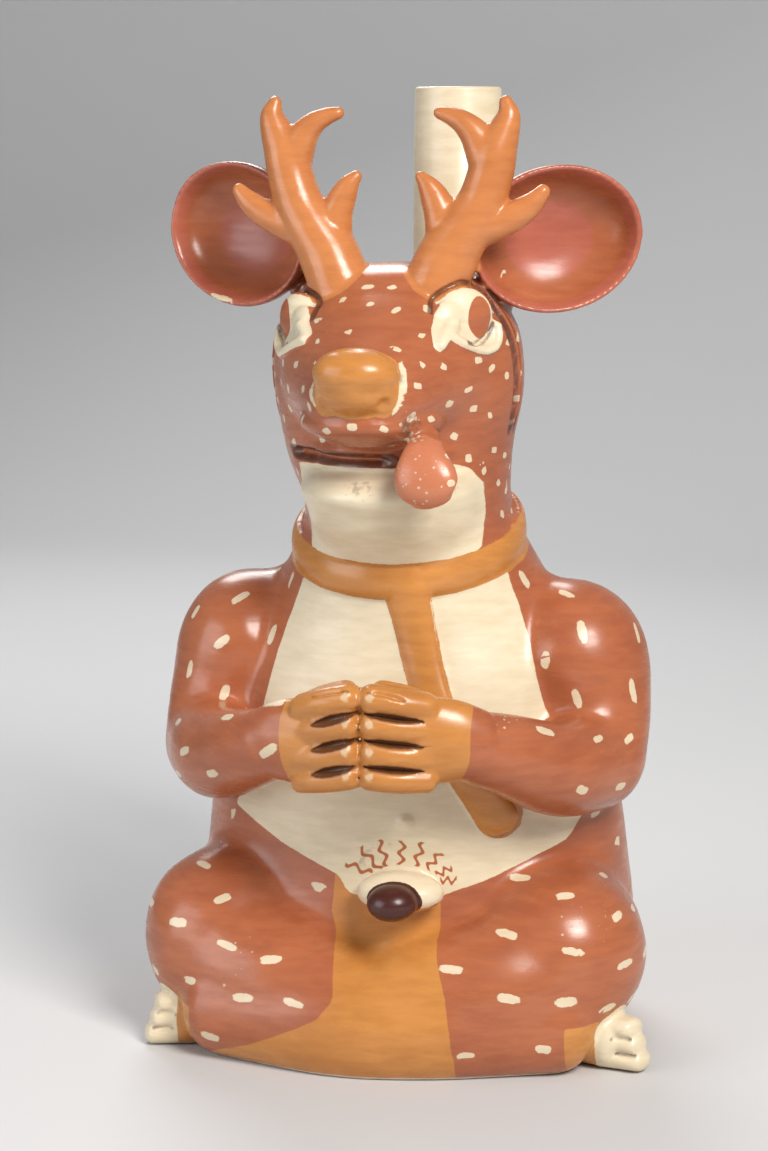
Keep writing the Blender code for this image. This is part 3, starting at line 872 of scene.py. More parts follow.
marks = [(round_head(170.2, -74, 13), 2.4, 2.6, 0.08, 2.2)]
for side in SIDES:
    ball_out, ball_up, wide, tall = BALL[side]
    socket = [(out * 1.07, up * 1.09 + 0.4) for out, up in SOCKET[side][2:-1]]
    marks.append((round_eye(side, socket), 1.2, 0.9, 0.25, 0.85 + 0.35 * (side < 0)))
    angles = np.radians(np.linspace(246, 338, 7))
    under = [(ball_out + wide * c, ball_up + (tall + 0.1) * s) for c, s in zip(np.cos(angles), np.sin(angles))]
    marks.append((round_eye(side, under), 1.0, 1.2, 0.25, 0.9))
    thumb = [(HAND_MIDDLE + side * out, height) for out, height in THUMB_LINE]
    marks.append((front_line(thumb), 1.0, 0.9, 0.2, 0.3))
    marks.append((cheek_fold(side, 3), 1.7, 1.9, 0.12, 1.5))
    marks.append((cheek_fold(side), 1.5, -0.7, 0.12, 0))
    marks.append((cheek_fold(side, -4), 1.4, 1.3, 0.12, 1.2))
    for lower, upper in zip(FEET[side][1], FEET[side][1][1:]):
        between = (lower[:, :3] + upper[:, :3]) / 2
        ends = [on_skin(bottle, between[1] + np.array((side * x, -0.02, 0)), (0, 1, 0)) for x in (-0.006, -0.0005)]
        marks.append((dense(ends), 1.2, 0.6, 0.2, 0.5))
for side, gap in FINGER_GAPS:
    route = [slot_place(side, gap, share) for share in (0.05, 0.5, 1)]
    marks.append((front_line(route, -90), 1.6, 0.5, 0.3, 0))
marks.append((front_line([(HAND_MIDDLE, height) for height in SEAM_HEIGHTS]), 1.0, 1.0, 0.08, 0.45))
skin_points, skin_normals = places(bottle)
for line, half_width, depth, taper, _ in marks:
    scored(skin_points, skin_normals, line, half_width, depth, taper)
for nostril in NOSTRILS:
    place = on_skin(bottle, nostril - (0, 0.02, 0), (0, 1, 0))
    dented(skin_points, skin_normals, place, NOSTRIL_RADIUS, NOSTRIL_DEPTH)

# Hand-rubbed clay is never quite even: long low waves, and a chipped patch on the lip
CHIP = mm(12.6, -51, 181)
CHIP_RADIUS = 5


def uneven(points):
    """Three slow sine waves, each across another direction, a tenth of a millimetre high."""
    x, y, z = points.T * 1000
    return 0.10 * np.sin(x / 5.3 + z / 8.1) + 0.08 * np.sin(y / 4.7 - z / 6.4) + 0.06 * np.sin(z / 3.6 + x / 9.0)


def pitted(points):
    """Crossed short sine waves, all cut off above nought, that fade out towards the chipped patch's edge."""
    x, y, z = points.T * 1000
    fade = np.clip(1 - np.linalg.norm(points - CHIP, axis=1) * 1000 / CHIP_RADIUS, 0, 1) ** 0.6
    grit = np.sin(x * 3.1 + 2 * np.sin(z * 1.9)) * np.sin(z * 2.7 + 2 * np.sin(x * 2.3))
    return fade * (0.25 + 0.45 * np.abs(grit))


def drawn_in(points, low, high, soft=0.006):
    """Near each wall of the box, distances past a soft line are scaled until the farthest point stays inside."""
    for axis in range(3):
        for wall, way in ((high[axis], 1), (low[axis], -1)):
            past = way * (points[:, axis] - wall) + soft
            share = min(1, (soft - 0.00002) / past.max())
            points[:, axis] -= way * np.clip(past, 0, None) * (1 - share)


skin_points -= skin_normals * (uneven(skin_points) + pitted(skin_points))[:, None] / 1000
drawn_in(skin_points, (cad_box[0][0], cad_box[0][1], -1), (cad_box[1][0], cad_box[1][1], 1))
bottle.data.vertices.foreach_set("co", skin_points.astype(np.float32).ravel())
bottle.data.update()

# The walls: the figure is a hollow vessel of even wall, cut flat below, and it opens only through the spout.
# The skin is thinned for its mesh's sake, and the slots between the fingers are cut with a pointed tool.
SKIN_TRIANGLES = 172000
HOLLOW_TRIANGLES = 9000


def thinned(thing, triangles):
    """Brings a skin down to about this many triangles, keeping them where it bends."""
    thing.data.calc_loop_triangles()
    thin = thing.modifiers.new("thin", "DECIMATE")
    thin.ratio = min(1, triangles / len(thing.data.loop_triangles))
    thin.use_collapse_triangulate = True
    return settled(thing)


def spout_profile():
    """The spout outside: up from its foot, and over a lip rounded at 0.9 mm."""
    lip = quarter((SPOUT_RADIUS - 0.9, SPOUT_TOP - 0.9), 0.9, 0, 90)
    return [(0, 209), (SPOUT_FOOT_RADIUS, 209), *lip, (0, SPOUT_TOP)]


def bore_profile():
    """The spout inside: up from the stirrup's bore, and out over a lip rounded at 0.9 mm."""
    foot, lip = SPOUT_FOOT_RADIUS - SPOUT_WALL, SPOUT_RADIUS - SPOUT_WALL
    flare = quarter((lip + 0.9, SPOUT_TOP - 0.9), 0.9, 180, 90)
    return [(0, STIRRUP_TOP), (foot, STIRRUP_TOP), *flare, (lip + 0.9, SPOUT_TOP + 2), (0, SPOUT_TOP + 2)]


# A slot is a leaf: shares of its reach, and of its half height there
SLOT_LEAF = ((0.1, 0.25), (0.3, 0.8), (0.55, 1), (0.8, 0.8), (1, 0.2))
SLOTS = [
    [(*slot_place(side, gap, share), SLOT_HALF[side] * swell) for share, swell in SLOT_LEAF]
    for side, gap in FINGER_GAPS
]


def finger_slot(route):
    """The leaf-shaped cutter of one slot, along the skin of the hand's front."""
    deepest = max(half for _, _, half in route)
    rows = [
        (*on_skin(bottle, mm(across, -90, height), (0, 1, 0)), 0.002 * half / deepest, half / 1000)
        for across, height, half in route
    ]
    return limb(np.array(rows), face=(0, 1, 0), reach=0.0003, steps=8, sides=16)


bottle = thinned(bottle, SKIN_TRIANGLES)
bottle = combined(bottle, "DIFFERENCE", joined("slots", [finger_slot(route) for route in SLOTS]))
bottle = combined(bottle, "DIFFERENCE", block("under", (-120, -120, -90), (120, 160, 0)))
bottle = combined(bottle, "UNION", turned("spout", spout_profile()))
inside = pressed("inside", [*body(WALL), limb(stirrup(STIRRUP_RADIUS - STIRRUP_WALL))], 0.0024, 2)
inside = thinned(inside, HOLLOW_TRIANGLES)
inside = combined(inside, "DIFFERENCE", block("floor_wall", (-120, -120, -90), (120, 160, WALL)))
bottle = combined(bottle, "DIFFERENCE", inside)
bottle = combined(bottle, "DIFFERENCE", turned("bore", bore_profile()))

# The slips. Four fine clays, brushed on before the firing: red-brown over the body, cream on chest, throat,
# feet, spout and eyes, ochre on antlers, nose, collar, hands and shin fronts, and a dark one on the knob.
# Each point of the skin carries how far inside each slip's edge it lies, in millimetres.
LEG_FRONT = (
    *((-13, 53), (-14, 42), (-10.7, 33), (-8.8, 22), (-13, 17), (-20.6, 13), (-33, 7.2), (-45, 2.5), (-52, -1)),
    *((-56, -4), (25, -4), (25, 7), (22.4, 23.6), (17.6, 37), (17, 53)),
)
CHEST = (
    *((-24, 142), (-27.7, 131), (-33.9, 113), (-37, 99), (-41, 84), (-46.5, 67), (-30, 59), (-12, 52), (-9, 47)),
    *((16, 47), (30, 52), (50, 61), (56, 72), (50, 88), (43, 99), (38.3, 117.5), (32.6, 132), (29, 142)),
)
THROAT = (
    *((-22.5, 134), (-23.5, 145), (-24, 151), (-26, 158), (-27, 167.4), (-14, 168.2), (19, 168.4)),
    *((22.5, 167), (25.5, 162.6), (25.9, 156), (25.2, 146), (25, 134)),
)


def within(across, up, outline):
    """Signed distance to a closed outline, positive inside: the nearest side's, its sign by counting crossings."""
    gap = np.full(len(across), 1e3)
    inside = np.zeros(len(across), bool)
    for (ax, ay), (bx, by) in zip(outline, outline[1:] + outline[:1]):
        step = np.clip(((across - ax) * (bx - ax) + (up - ay) * (by - ay)) / ((bx - ax) ** 2 + (by - ay) ** 2), 0, 1)
        gap = np.minimum(gap, np.hypot(across - ax - step * (bx - ax), up - ay - step * (by - ay)))
        crosses = ((ay > up) != (by > up)) & (across < (bx - ax) * (up - ay) / (by - ay + 1e-9) + ax)
        inside ^= crosses
    return np.where(inside, gap, -gap)


def off_limb(points, stations, steps=10):
    """Distance from the surface of a limb in millimetres: the least distance to its path less its mean radius."""
    path = curve_through(stations, steps) * 1000
    near = np.full(len(points), 1e3)
    for row in path:
        near = np.minimum(near, np.linalg.norm(points - row[:3], axis=1) - (row[3] + row[4]) / 2)
    return near


def off_egg(points, centre, radii):
    """Rough distance from an egg's surface in millimetres: distance in its own radii, less one, times their mean."""
    return (np.linalg.norm((points - centre * 1000) / (radii * 1000), axis=1) - 1) * radii.mean() * 1000


def most(*fields):
    return np.max(fields, axis=0)


def least(*fields):
    return np.min(fields, axis=0)


# The pale crescents on the lip beside the nose: across, height and half width
NOSTRIL_RIMS = (
    ((8.4, 198.6, 0.3), (9.8, 195.4, 0.75), (10.3, 191.5, 0.95), (9.6, 187.6, 0.8), (7.6, 184.8, 0.35)),
    ((-14.6, 193, 0.25), (-15.3, 189.8, 0.7), (-13.8, 186.4, 0.35)),
)


def strip(points, route):
    """Seen from the front, how far inside a strip of changing half width: rows of across, height and half width."""
    cover = np.full(len(points), -1e3)
    for across, height, half in curve_through(np.array(route, float), 10):
        cover = np.maximum(cover, half - np.hypot(points[:, 0] - across, points[:, 2] - height))
    return cover


def strap_cover(points):
    """The collar is the band of heights about its middle line, and the hanging end is a strip about its route."""
    x, y, z = points.T
    turn = np.arctan2(x, 4 - y)
    band = COLLAR_HALF - np.abs(z - collar_height(turn))
    return most(band, least(strip(points, [row[:3] for row in STRAP_END]), -15 - y))


def hand_cover(points):
    """Both hands up to the wrists, which curve a little, in front of the chest and away from it."""
    x, y, z = points.T
    left = x + 22.3 - 2.8 * ((z - 98) / 14) ** 2
    right = 30.3 - 5.3 * ((z - 100) / 15) ** 4 - x
    return least(left, right, z - 78, 118 - z, -40.5 - y)


NAIL_OUT = 3.4
NAIL_HALF_WIDE = 1.3
NAIL_HALF_TALL = 1.5


def nail_cover(points):
    """A small oval on each finger tip, beside the middle."""
    x, y, z = points.T
    cover = np.full(len(points), -1e3)
    for side in SIDES:
        for tip, _, _ in FINGERS:
            out = (x - HAND_MIDDLE - side * NAIL_OUT) / NAIL_HALF_WIDE
            cover = np.maximum(cover, (1 - np.hypot(out, (z - tip - 0.6) / NAIL_HALF_TALL)) * 1.4)
    return least(cover, -60 - y)


def eye_places(points, side):
    """Millimetres outwards and upwards from an eye's middle, and how near the eye the point is."""
    rel = points - EYE_MIDDLE[side] * 1000
    return rel @ EYE_OUT[side], rel @ UP, 22 - np.linalg.norm(rel, axis=1)


def eye_cover(points, side):
    """White of the ball, tear duct and lower lid, as one outline."""
    out, up, near = eye_places(points, side)
    return least(within(out, up, SOCKET[side] + UNDER[side]), near, horns - 0.9)


def iris_cover(points, side):
    """An upright oval towards the outer half of the ball."""
    out, up, near = eye_places(points, side)
    across = 5 if side < 0 else 4
    return least((1 - np.hypot((out - across) / 4.2, (up - 0.2) / 5.9)) * 5, near)


def ear_cover(points, side):
    """The inside of the dish: inside its oval and in front of its wall's middle."""
    long, short, front = ear_axes(side)
    rel = points - ear_centre(side) * 1000
    oval = np.hypot(rel @ long / EAR_LONG, rel @ short / EAR_SHORT)
    depth = -(rel @ front)
    bowl = 10.6 - 14.4 * oval**2
    return least((1.02 - oval) * 20, bowl - depth, depth + 6)


points, normals = places(bottle)
points = points * 1000
x, y, z = points.T
tongue = strip(points, [row[[0, 2, 3]] for row in TONGUE * 1000]) + 0.2
tongue = least(tongue, -43 - y, 179.3 - z - 0.45 * np.abs(x - 15.2))
nose = least(*(off_egg(points, *pad) for pad in NOSE))
horns = least(*(off_limb(points, roll) for side in SIDES for roll in ANTLERS[side]))
upright = most(np.hypot(x - STIRRUP_ASIDE, y - SPOUT_BEHIND) - SPOUT_FOOT_RADIUS, 200 - z)
spout = least(off_limb(points, stirrup(STIRRUP_RADIUS)), upright)
knob = off_egg(points, *KNOB)
cushion = off_egg(points, *CUSHION)
forearms = least(*(off_limb(points, ARMS[side]) for side in SIDES))
hand_rolls_of_both = [roll for side in SIDES for roll in (HANDS[side][0], *HANDS[side][1], HANDS[side][2])]
palms = least(*(off_limb(points, roll) for roll in hand_rolls_of_both))
feet = least(*(off_limb(points, roll) for side in SIDES for roll in [FEET[side][0], *FEET[side][1]]))
straps = strap_cover(points)
hands = hand_cover(points)
leg_front = least(within(x, z, LEG_FRONT), -30 - y)
ankles = least(3.0 - np.abs(np.abs(x - 1) - 57.5), 14 - z, -24 - y) + 1
nostril_rims = most(*(strip(points, route) for route in NOSTRIL_RIMS))
ochre = most(straps, hands, 1.3 - horns, 1.1 - nose, leg_front, ankles)
below_collar = collar_height(np.arctan2(x, 4 - y)) - z
chest = least(within(x, z, CHEST), -9 - y, below_collar, forearms - 1.5, palms - 1.5)
throat = least(within(x, z, THROAT), 0 - y, -below_collar, -tongue)
rims = least(nostril_rims, nose - 0.35, -46 - y, 204 - z)
toes = least(1.6 - feet, np.abs(x - 1.5) - 60)
cream = most(
    least(most(chest, throat), -straps, -hands),
    rims,
    toes,
    2.0 - spout,
    least(0.9 - cushion, knob + 0.2, z - 48),
    *(eye_cover(points, side) for side in SIDES),
)
iris = most(*(iris_cover(points, side) for side in SIDES))
nails = nail_cover(points)
dark = least(0.9 - knob, 56 - z)
horn_slip = 1.3 - horns
# Painted shade: a darker colour in the finger slots and along each scored mark that has a reach, strongest in its
# groove.
slots = least(most(*(strip(points, route) for route in SLOTS)) + 0.3, -45 - y)
crease_shade = most(slots, *(reach - to_line(points / 1000, line, 0.006)[0] * 1000 for line, *_, reach in marks if reach))
bare = most(0.6 - z, least(SPOUT_RADIUS - 1.5 - np.hypot(x - STIRRUP_ASIDE, y - SPOUT_BEHIND), 272 - z, z - 190))
inner_ear = most(*(ear_cover(points, side) for side in SIDES))

# The spots: single touches of a cream-laden brush on the red-brown. On the head they are small dabs, on the arms
# and the trunk strokes along each limb, and on the legs level strokes. Spacings and heights are in millimetres.
SPOT_SEED = 11
HEAD_SPACING = 6.7
BODY_SPACING = 12.4
HEAD_FROM = 152
LEGS_TO = 72


def spread(points, room):
    """Farthest-first choice: each new spot is the point that is farthest from the chosen ones, in its own room."""
    chosen = [int(np.argmin(points[:, 1]))]
    gap = np.linalg.norm(points - points[chosen[0]], axis=1) / room
    while gap.max() > 1:
        chosen.append(int(np.argmax(gap)))
        gap = np.minimum(gap, np.linalg.norm(points - points[chosen[-1]], axis=1) / room)
    return np.array(chosen)


def stroke_ways(places_of_spots):
    """The way of each stroke: along the nearest limb's path, and up and down on the trunk and the head."""
    best = np.full(len(places_of_spots), 1e3)
    ways = np.tile(UP, (len(places_of_spots), 1))
    for side in SIDES:
        for stations in (SHOULDERS[side], ARMS[side], THIGHS[side], SHINS[side]):
            path = curve_through(stations, 10)[:, :3] * 1000
            heads = np.gradient(path, axis=0)
            radius = curve_through(stations, 10)[:, 3:].mean(axis=1) * 1000
            for place, head, r in zip(path, heads, radius):
                gap = np.abs(np.linalg.norm(places_of_spots - place, axis=1) - r)
                closer = gap < np.minimum(best, 7)
                best[closer] = gap[closer]
                ways[closer] = head / np.linalg.norm(head)
    return ways


# Bare red-brown, clear of the other slips, the ears, the tongue, the mouth, the spout, the crown and level ledges
high = z > HEAD_FROM
free = least(-cream, -ochre, -inner_ear, horns - 3, z - 4, knob)
from_ears = least(*(np.linalg.norm(points - ear_centre(side) * 1000, axis=1) for side in SIDES))
inner_wall = np.hypot(x, y - 10) < 20
by_mouth = (y < -20) & (z > 150) & (z < 175) & (x < 22)
paintable = (free > np.where(high, 1.7, 3.2)) & (from_ears > 27) & (off_limb(points, TONGUE) > 1.2) & (spout > 4)
paintable &= (z < 222) & (high | (np.abs(normals[:, 2]) < 0.97)) & ~inner_wall & ~by_mouth
candidates = np.flatnonzero(paintable)
room = np.where(high, HEAD_SPACING, BODY_SPACING)[candidates]
spots = candidates[spread(points[candidates], room)]
dice = np.random.default_rng(SPOT_SEED)
ways = stroke_ways(points[spots])
on_head = high[spots]
outwards = normals[spots]
level = on_head | (z[spots] < LEGS_TO)
ways[level] = np.cross(UP, outwards[level])
swing = dice.normal(0, 1, (len(spots), 3))
ways = ways + swing * np.where(on_head, 0.4, 0.2)[:, None]
ways -= outwards * np.sum(ways * outwards, axis=1)[:, None]
ways /= np.linalg.norm(ways, axis=1)[:, None]
acrosses = np.cross(outwards, ways)
half_long = np.where(on_head, dice.uniform(1.1, 1.8, len(spots)), dice.uniform(2.2, 3.5, len(spots)))
half_wide = np.where(on_head, dice.uniform(0.8, 1.15, len(spots)), dice.uniform(1.0, 1.4, len(spots)))

# The nearest spot of each point, and how far along and across it the point is, in half lengths and half widths.
# Without their signs both stay large between two spots, so that no paint shows where one spot's room meets the next.
nearest = np.zeros(len(points), int)
gap = np.full(len(points), 1e3)
for index, spot in enumerate(spots):
    distance = np.linalg.norm(points - points[spot], axis=1)
    closer = distance < gap
    gap[closer] = distance[closer]
    nearest[closer] = index
rel = points - points[spots[nearest]]
spot_along = np.sum(rel * ways[nearest], axis=1) / half_long[nearest]
spot_across = np.sum(rel * acrosses[nearest], axis=1) / half_wide[nearest]
spot_across = spot_across + np.where(np.sum(normals * outwards[nearest], axis=1) < 0.2, 9, 0)

fields = {
    "ochre": ochre,
    "cream": cream,
    "iris": iris,
    "dark": dark,
    "inner_ear": inner_ear,
    "tongue": tongue,
    "nails": nails,
    "horn_slip": horn_slip,
    "crease_shade": crease_shade,
    "bare": bare,
    "cushion": cushion,
    "spot_along": np.abs(spot_along),
    "spot_across": np.abs(spot_across),
}
for name, values in fields.items():
    field = bottle.data.attributes.new(name, "FLOAT", "POINT")
    field.data.foreach_set("value", np.clip(values, -20, 20).astype(np.float32))

# The finish: slips rubbed with a smooth stone before the firing, so that they shine, and worn since.
# One material reads the slips' fields and the painted shade of the grooves, and its groups give each edge its brush
# waver and the clay its wear.


class Graph:
    """A node tree that is written as calls: each returns the socket it makes."""

    def __init__(self, tree):
        self.tree = tree

    def put(self, kind, settings=None, output=0, **inputs):
        node = self.tree.nodes.new(kind)
        for name, value in (settings or {}).items():
            setattr(node, name, value)
        for name, value in inputs.items():
            key = int(name[1:]) if name[1:].isdigit() else name.replace("_", " ")
            self.feed(node.inputs[key], value)
        return node.outputs[output]

    def feed(self, socket, value):
        if isinstance(value, bpy.types.NodeSocket):
            self.tree.links.new(value, socket)
        else:
            socket.default_value = value

    def math(self, operation, a, b=0.0, c=0.0):
        return self.put("ShaderNodeMath", {"operation": operation}, i0=a, i1=b, i2=c)

    def ramp(self, value, low, high, to_low=0.0, to_high=1.0):
        """Smoothly from to_low at low to to_high at high."""
        settings = {"interpolation_type": "SMOOTHSTEP"}
        return self.put("ShaderNodeMapRange", settings, i0=value, i1=low, i2=high, i3=to_low, i4=to_high)

    def mix(self, share, a, b):
        settings = {"data_type": "RGBA"}
        return self.put("ShaderNodeMix", settings, output=2, i0=share, i6=a, i7=b)

    def noise(self, where, scale, detail=3.0, rough=0.5):
        return self.put("ShaderNodeTexNoise", Vector=where, Scale=scale, Detail=detail, Roughness=rough)

    def field(self, name):
        return self.put("ShaderNodeAttribute", {"attribute_name": name}, output=2)


def group(name, ins, outs):
    """An empty node group with named inputs, their defaults, and named outputs."""
    tree = bpy.data.node_groups.new(name, "ShaderNodeTree")
    for label, kind, default in ins:
        socket = tree.interface.new_socket(label, in_out="INPUT", socket_type=kind)
        if default is not None:
            socket.default_value = default
    for label, kind in outs:
        tree.interface.new_socket(label, in_out="OUTPUT", socket_type=kind)
    return tree, Graph(tree), tree.nodes.new("NodeGroupInput"), tree.nodes.new("NodeGroupOutput")


def slip_edge():
    """Where a slip covers the clay: its field is above nought, give or take a brush's slow and quick waver."""
    ins = [("Inside", "NodeSocketFloat", 0.0), ("Waver", "NodeSocketFloat", 0.25)]
    ins.append(("Where", "NodeSocketVector", None))
    tree, g, given, out = group("slip_edge", ins, [("Cover", "NodeSocketFloat")])
    slow = g.math("SUBTRACT", g.noise(given.outputs["Where"], 160.0, 2.0), 0.5)
    quick = g.math("SUBTRACT", g.noise(given.outputs["Where"], 1300.0, 2.0), 0.5)
    waver = g.math("MULTIPLY", g.math("MULTIPLY_ADD", quick, 0.5, slow), given.outputs["Waver"])
    edge = g.math("MULTIPLY_ADD", waver, 3.0, given.outputs["Inside"])
    g.feed(out.inputs["Cover"], g.ramp(edge, -0.13, 0.13))
    return tree


def brush_spot():
    """A touch of the brush: the 2.6th powers of its two half measures add up to less than one."""
    ins = [("Along", "NodeSocketFloat", 0.0), ("Across", "NodeSocketFloat", 0.0), ("Where", "NodeSocketVector", None)]
    tree, g, given, out = group("brush_spot", ins, [("Cover", "NodeSocketFloat")])
    along = g.math("POWER", given.outputs["Along"], 2.6)
    across = g.math("POWER", given.outputs["Across"], 2.6)
    ragged = g.math("MULTIPLY", g.math("SUBTRACT", g.noise(given.outputs["Where"], 700.0, 3.0), 0.5), 1.3)
    size = g.math("ADD", g.math("ADD", along, across), ragged)
    g.feed(out.inputs["Cover"], g.ramp(size, 1.25, 0.85))
    return tree


def wavy_line():
    """A wavy line between two places seen from the front: near the sine of the share of the way, on either side."""
    ins = [(label, "NodeSocketFloat", 0.0) for label in ("Across", "Up", "Length", "Phase")]
    tree, g, given, out = group("wavy_line", ins, [("Cover", "NodeSocketFloat")])
    along = given.outputs["Up"]
    share = g.math("DIVIDE", along, given.outputs["Length"])
    wave = g.math("SINE", g.math("MULTIPLY_ADD", share, 2 * math.pi * 1.9, given.outputs["Phase"]))
    off = g.math("ABSOLUTE", g.math("MULTIPLY_ADD", wave, -0.75, given.outputs["Across"]))
    ends = g.math("MINIMUM", along, g.math("SUBTRACT", given.outputs["Length"], along))
    line = g.math("MULTIPLY", g.ramp(off, 0.72, 0.42), g.ramp(ends, -0.15, 0.15))
    g.feed(out.inputs["Cover"], line)
    return tree


def wear():
    """Specks: the small hearts of scattered cells, more of them in patches, and grime that stays round them."""
    ins = [("Where", "NodeSocketVector", None), ("Patches", "NodeSocketFloat", 0.0)]
    outs = [("Specks", "NodeSocketFloat"), ("Grime", "NodeSocketFloat")]
    tree, g, given, out = group("wear", ins, outs)
    where = given.outputs["Where"]
    cells = g.put("ShaderNodeTexVoronoi", {"feature": "F1"}, Vector=where, Scale=520.0, Randomness=1.0)
    ragged = g.math("MULTIPLY_ADD", g.math("SUBTRACT", g.noise(where, 1900.0, 2.0), 0.5), 0.25, cells)
    likely = g.math("ADD", g.ramp(g.noise(where, 34.0, 4.0, 0.6), 0.63, 0.80), given.outputs["Patches"])
    limit = g.math("MULTIPLY", g.math("MINIMUM", likely, 1.0), 0.40)
    g.feed(out.inputs["Specks"], g.ramp(g.math("SUBTRACT", limit, ragged), 0.0, 0.06))
    smudge = g.ramp(g.noise(where, 420.0, 3.0, 0.6), 0.42, 0.62)
    g.feed(out.inputs["Grime"], g.math("MULTIPLY", smudge, g.ramp(given.outputs["Patches"], 0.65, 1.0)))
    return tree


def rubbed():
    """The burnish: shallow facets of the rubbing stone, streaked along the horizontal, and a fine clay grain."""
    ins = [("Where", "NodeSocketVector", None)]
    tree, g, given, out = group("rubbed", ins, [("Tone", "NodeSocketFloat"), ("Height", "NodeSocketFloat")])
    where = given.outputs["Where"]
    flat = g.put("ShaderNodeMapping", Vector=where, Scale=(1.0, 1.0, 4.5))
    streaks = g.noise(flat, 95.0, 4.0, 0.6)
    clouds = g.noise(where, 26.0, 3.0, 0.55)
    grain = g.noise(where, 2400.0, 2.0)
    tone = g.math("ADD", g.math("MULTIPLY", streaks, 0.5), g.math("MULTIPLY", clouds, 0.5))
    g.feed(out.inputs["Tone"], g.ramp(tone, 0.32, 0.68))
    height = g.math("MULTIPLY_ADD", clouds, 0.6, g.math("MULTIPLY", streaks, 0.5))
    g.feed(out.inputs["Height"], g.math("MULTIPLY_ADD", grain, 0.10, height))
    return tree


# The slips' colours, light and dark where the slip lies thin and thick
RED_SLIP = ((0.440, 0.138, 0.058, 1), (0.330, 0.090, 0.036, 1))
EAR_SLIP = ((0.470, 0.140, 0.085, 1), (0.360, 0.090, 0.052, 1))
TONGUE_SLIP = (0.520, 0.175, 0.085, 1)
CREAM_SLIP = ((0.790, 0.690, 0.500, 1), (0.660, 0.550, 0.370, 1))
OCHRE_SLIP = ((0.590, 0.250, 0.062, 1), (0.460, 0.175, 0.038, 1))
HORN_SLIP = ((0.580, 0.215, 0.070, 1), (0.470, 0.155, 0.045, 1))
LINE_SLIP = (0.400, 0.110, 0.035, 1)
# Painted shade, laid in the grooves, the mouth gap, the finger slots and under the eyeballs
SHADE_TINT = (0.070, 0.020, 0.012, 1)
DARK_SLIP = (0.060, 0.014, 0.010, 1)
BARE_CLAY = (0.640, 0.510, 0.390, 1)
GRIME = (0.120, 0.070, 0.040, 1)
# The wavy lines above the knob: across and height of each one's inner and outer end
RAYS = (
    ((-2.1, 53), (-10.1, 55.7)),
    ((0.2, 54.4), (-5.9, 60.3)),
    ((2.1, 55.5), (-0.6, 62.8)),
    ((5.8, 56), (6.3, 62.9)),
    ((9.8, 55.9), (12.1, 62.6)),
    ((13.2, 55.1), (17, 59.8)),
    ((15.9, 53.3), (20, 55.7)),
    ((16.9, 52), (21.4, 51.7)),
)
# Worn places: where, how far they reach, in metres, and how thickly specked
WORN = (
    (CHIP, 0.0065, 1.0),
    (mm(15.5, -57, 167), 0.011, 0.62),
    (mm(36, -48, 98), 0.010, 0.62),
    (mm(-4, -46, 165.5), 0.008, 0.85),
    (mm(58, -30, 40), 0.016, 0.3),
)


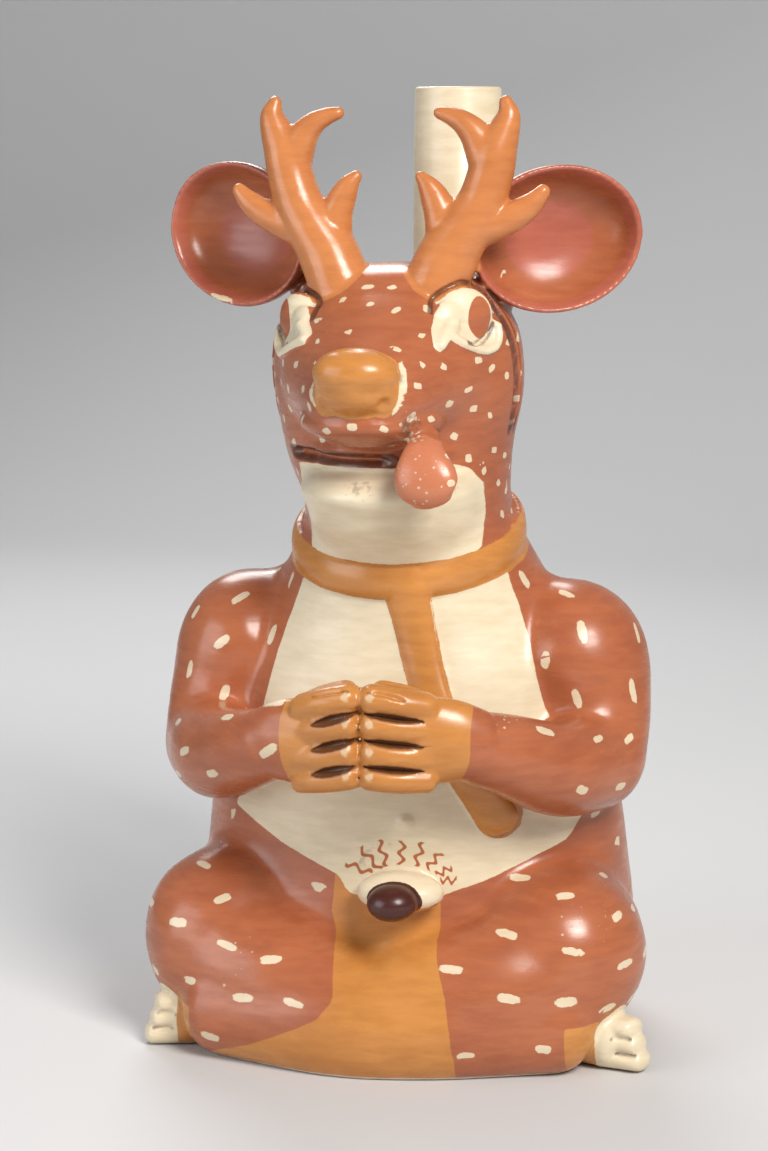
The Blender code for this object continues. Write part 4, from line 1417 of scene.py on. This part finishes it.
def burnished_slip():
    """Red-brown ground, then ochre, cream and spots over it, then the painted lines, painted shade in the grooves,
    and wear last.
    """
    made = bpy.data.materials.new("burnished_slip")
    made.use_nodes = True
    g = Graph(made.node_tree)
    shader = made.node_tree.nodes["Principled BSDF"]
    where = g.put("ShaderNodeTexCoord", output="Object")
    edge_tree, spot_tree, line_tree, wear_tree, rubbed_tree = slip_edge(), brush_spot(), wavy_line(), wear(), rubbed()

    def grouped(tree, output=0, **inputs):
        return g.put("ShaderNodeGroup", {"node_tree": tree}, output=output, **inputs)

    def cover(name, waver=0.25):
        return grouped(edge_tree, Inside=g.field(name), Waver=waver, Where=where)

    finish = grouped(rubbed_tree, Where=where).node
    tone = finish.outputs["Tone"]
    red = g.mix(tone, RED_SLIP[1], RED_SLIP[0])
    red = g.mix(cover("inner_ear", 0.0), red, g.mix(tone, EAR_SLIP[1], EAR_SLIP[0]))
    ochre_cover = cover("ochre")
    cream_cover = cover("cream", 0.2)
    spot = grouped(spot_tree, Along=g.field("spot_along"), Across=g.field("spot_across"), Where=where)
    cream_tone = g.mix(tone, CREAM_SLIP[1], CREAM_SLIP[0])
    ochre = g.mix(tone, OCHRE_SLIP[1], OCHRE_SLIP[0])
    ochre = g.mix(cover("horn_slip", 0.0), ochre, g.mix(tone, HORN_SLIP[1], HORN_SLIP[0]))
    colour = g.mix(ochre_cover, red, ochre)
    colour = g.mix(cream_cover, colour, cream_tone)
    colour = g.mix(cover("tongue", 0.1), colour, TONGUE_SLIP)
    bare_red = g.math("MULTIPLY", g.math("SUBTRACT", 1.0, ochre_cover), g.math("SUBTRACT", 1.0, cream_cover))
    spot = g.math("MULTIPLY", spot, bare_red)
    colour = g.mix(g.math("MULTIPLY", spot, 0.88), colour, cream_tone)
    front = g.put("ShaderNodeSeparateXYZ", Vector=where).node.outputs
    lines = 0.0
    for number, (start, end) in enumerate(RAYS):
        start, end = np.array(start), np.array(end)
        length = float(np.hypot(*(end - start)))
        way = (end - start) / length
        px = g.math("MULTIPLY_ADD", front["X"], 1000.0, float(-start[0]))
        pz = g.math("MULTIPLY_ADD", front["Z"], 1000.0, float(-start[1]))
        along = g.math("ADD", g.math("MULTIPLY", px, float(way[0])), g.math("MULTIPLY", pz, float(way[1])))
        across = g.math("SUBTRACT", g.math("MULTIPLY", px, float(way[1])), g.math("MULTIPLY", pz, float(way[0])))
        ray = grouped(line_tree, Across=across, Up=along, Length=length, Phase=1.7 * number)
        lines = g.math("MAXIMUM", lines, ray)
    lines = g.math("MULTIPLY", g.math("MULTIPLY", lines, g.ramp(front["Y"], -0.020, -0.024)), cream_cover)
    lines = g.math("MULTIPLY", lines, g.ramp(g.field("cushion"), 1.0, 1.5))
    colour = g.mix(lines, colour, LINE_SLIP)
    colour = g.mix(cover("iris", 0.1), colour, red)
    nail = g.math("MULTIPLY_ADD", g.noise(where, 800.0, 3.0), 1.6, g.math("SUBTRACT", g.field("nails"), 0.8))
    colour = g.mix(g.ramp(nail, -0.1, 0.7, 0.0, 0.55), colour, cream_tone)
    colour = g.mix(cover("dark"), colour, DARK_SLIP)
    # Painted shade: the grooves, the mouth gap, the finger slots and the hollow under each eyeball are darkened in
    # the colour.
    painted_shade = g.ramp(g.field("crease_shade"), -0.35, 0.35, 0.0, 0.8)
    colour = g.mix(painted_shade, colour, SHADE_TINT)
    colour = g.mix(cover("bare"), colour, BARE_CLAY)

    patches = 0.0
    for place, reach, share in WORN:
        far = g.put("ShaderNodeVectorMath", {"operation": "DISTANCE"}, output=1, i0=where, i1=tuple(place))
        patches = g.math("ADD", g.ramp(far, reach, reach * 0.4, 0.0, share), patches)
    worn = grouped(wear_tree, Where=where, Patches=patches).node
    colour = g.mix(g.math("MULTIPLY", worn.outputs["Specks"], 0.75), colour, BARE_CLAY)
    colour = g.mix(g.math("MULTIPLY", worn.outputs["Grime"], 0.7), colour, GRIME)
    stains = g.ramp(g.noise(where, 70.0, 5.0, 0.65), 0.66, 0.76)
    stained = g.math("MULTIPLY", g.math("MULTIPLY", stains, cream_cover), 0.55)
    colour = g.mix(stained, colour, GRIME)
    g.feed(shader.inputs["Base Color"], colour)

    rough = g.ramp(tone, 0.0, 1.0, 0.33, 0.22)
    rough = g.math("ADD", rough, g.math("MULTIPLY", cream_cover, 0.06))
    rough = g.math("ADD", rough, g.math("MULTIPLY", worn.outputs["Specks"], 0.3))
    g.feed(shader.inputs["Roughness"], rough)
    height = g.math("MULTIPLY_ADD", worn.outputs["Specks"], -0.9, finish.outputs["Height"])
    height = g.math("MULTIPLY_ADD", spot, 0.35, height)
    bump = g.put("ShaderNodeBump", Height=height, Strength=0.5, Distance=0.00016)
    g.feed(shader.inputs["Normal"], bump)
    return made


bottle.data.shade_smooth()
bottle.data.materials.clear()
bottle.data.materials.append(burnished_slip())
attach(bottle, "root")
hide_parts("deer_effigy_bottle")
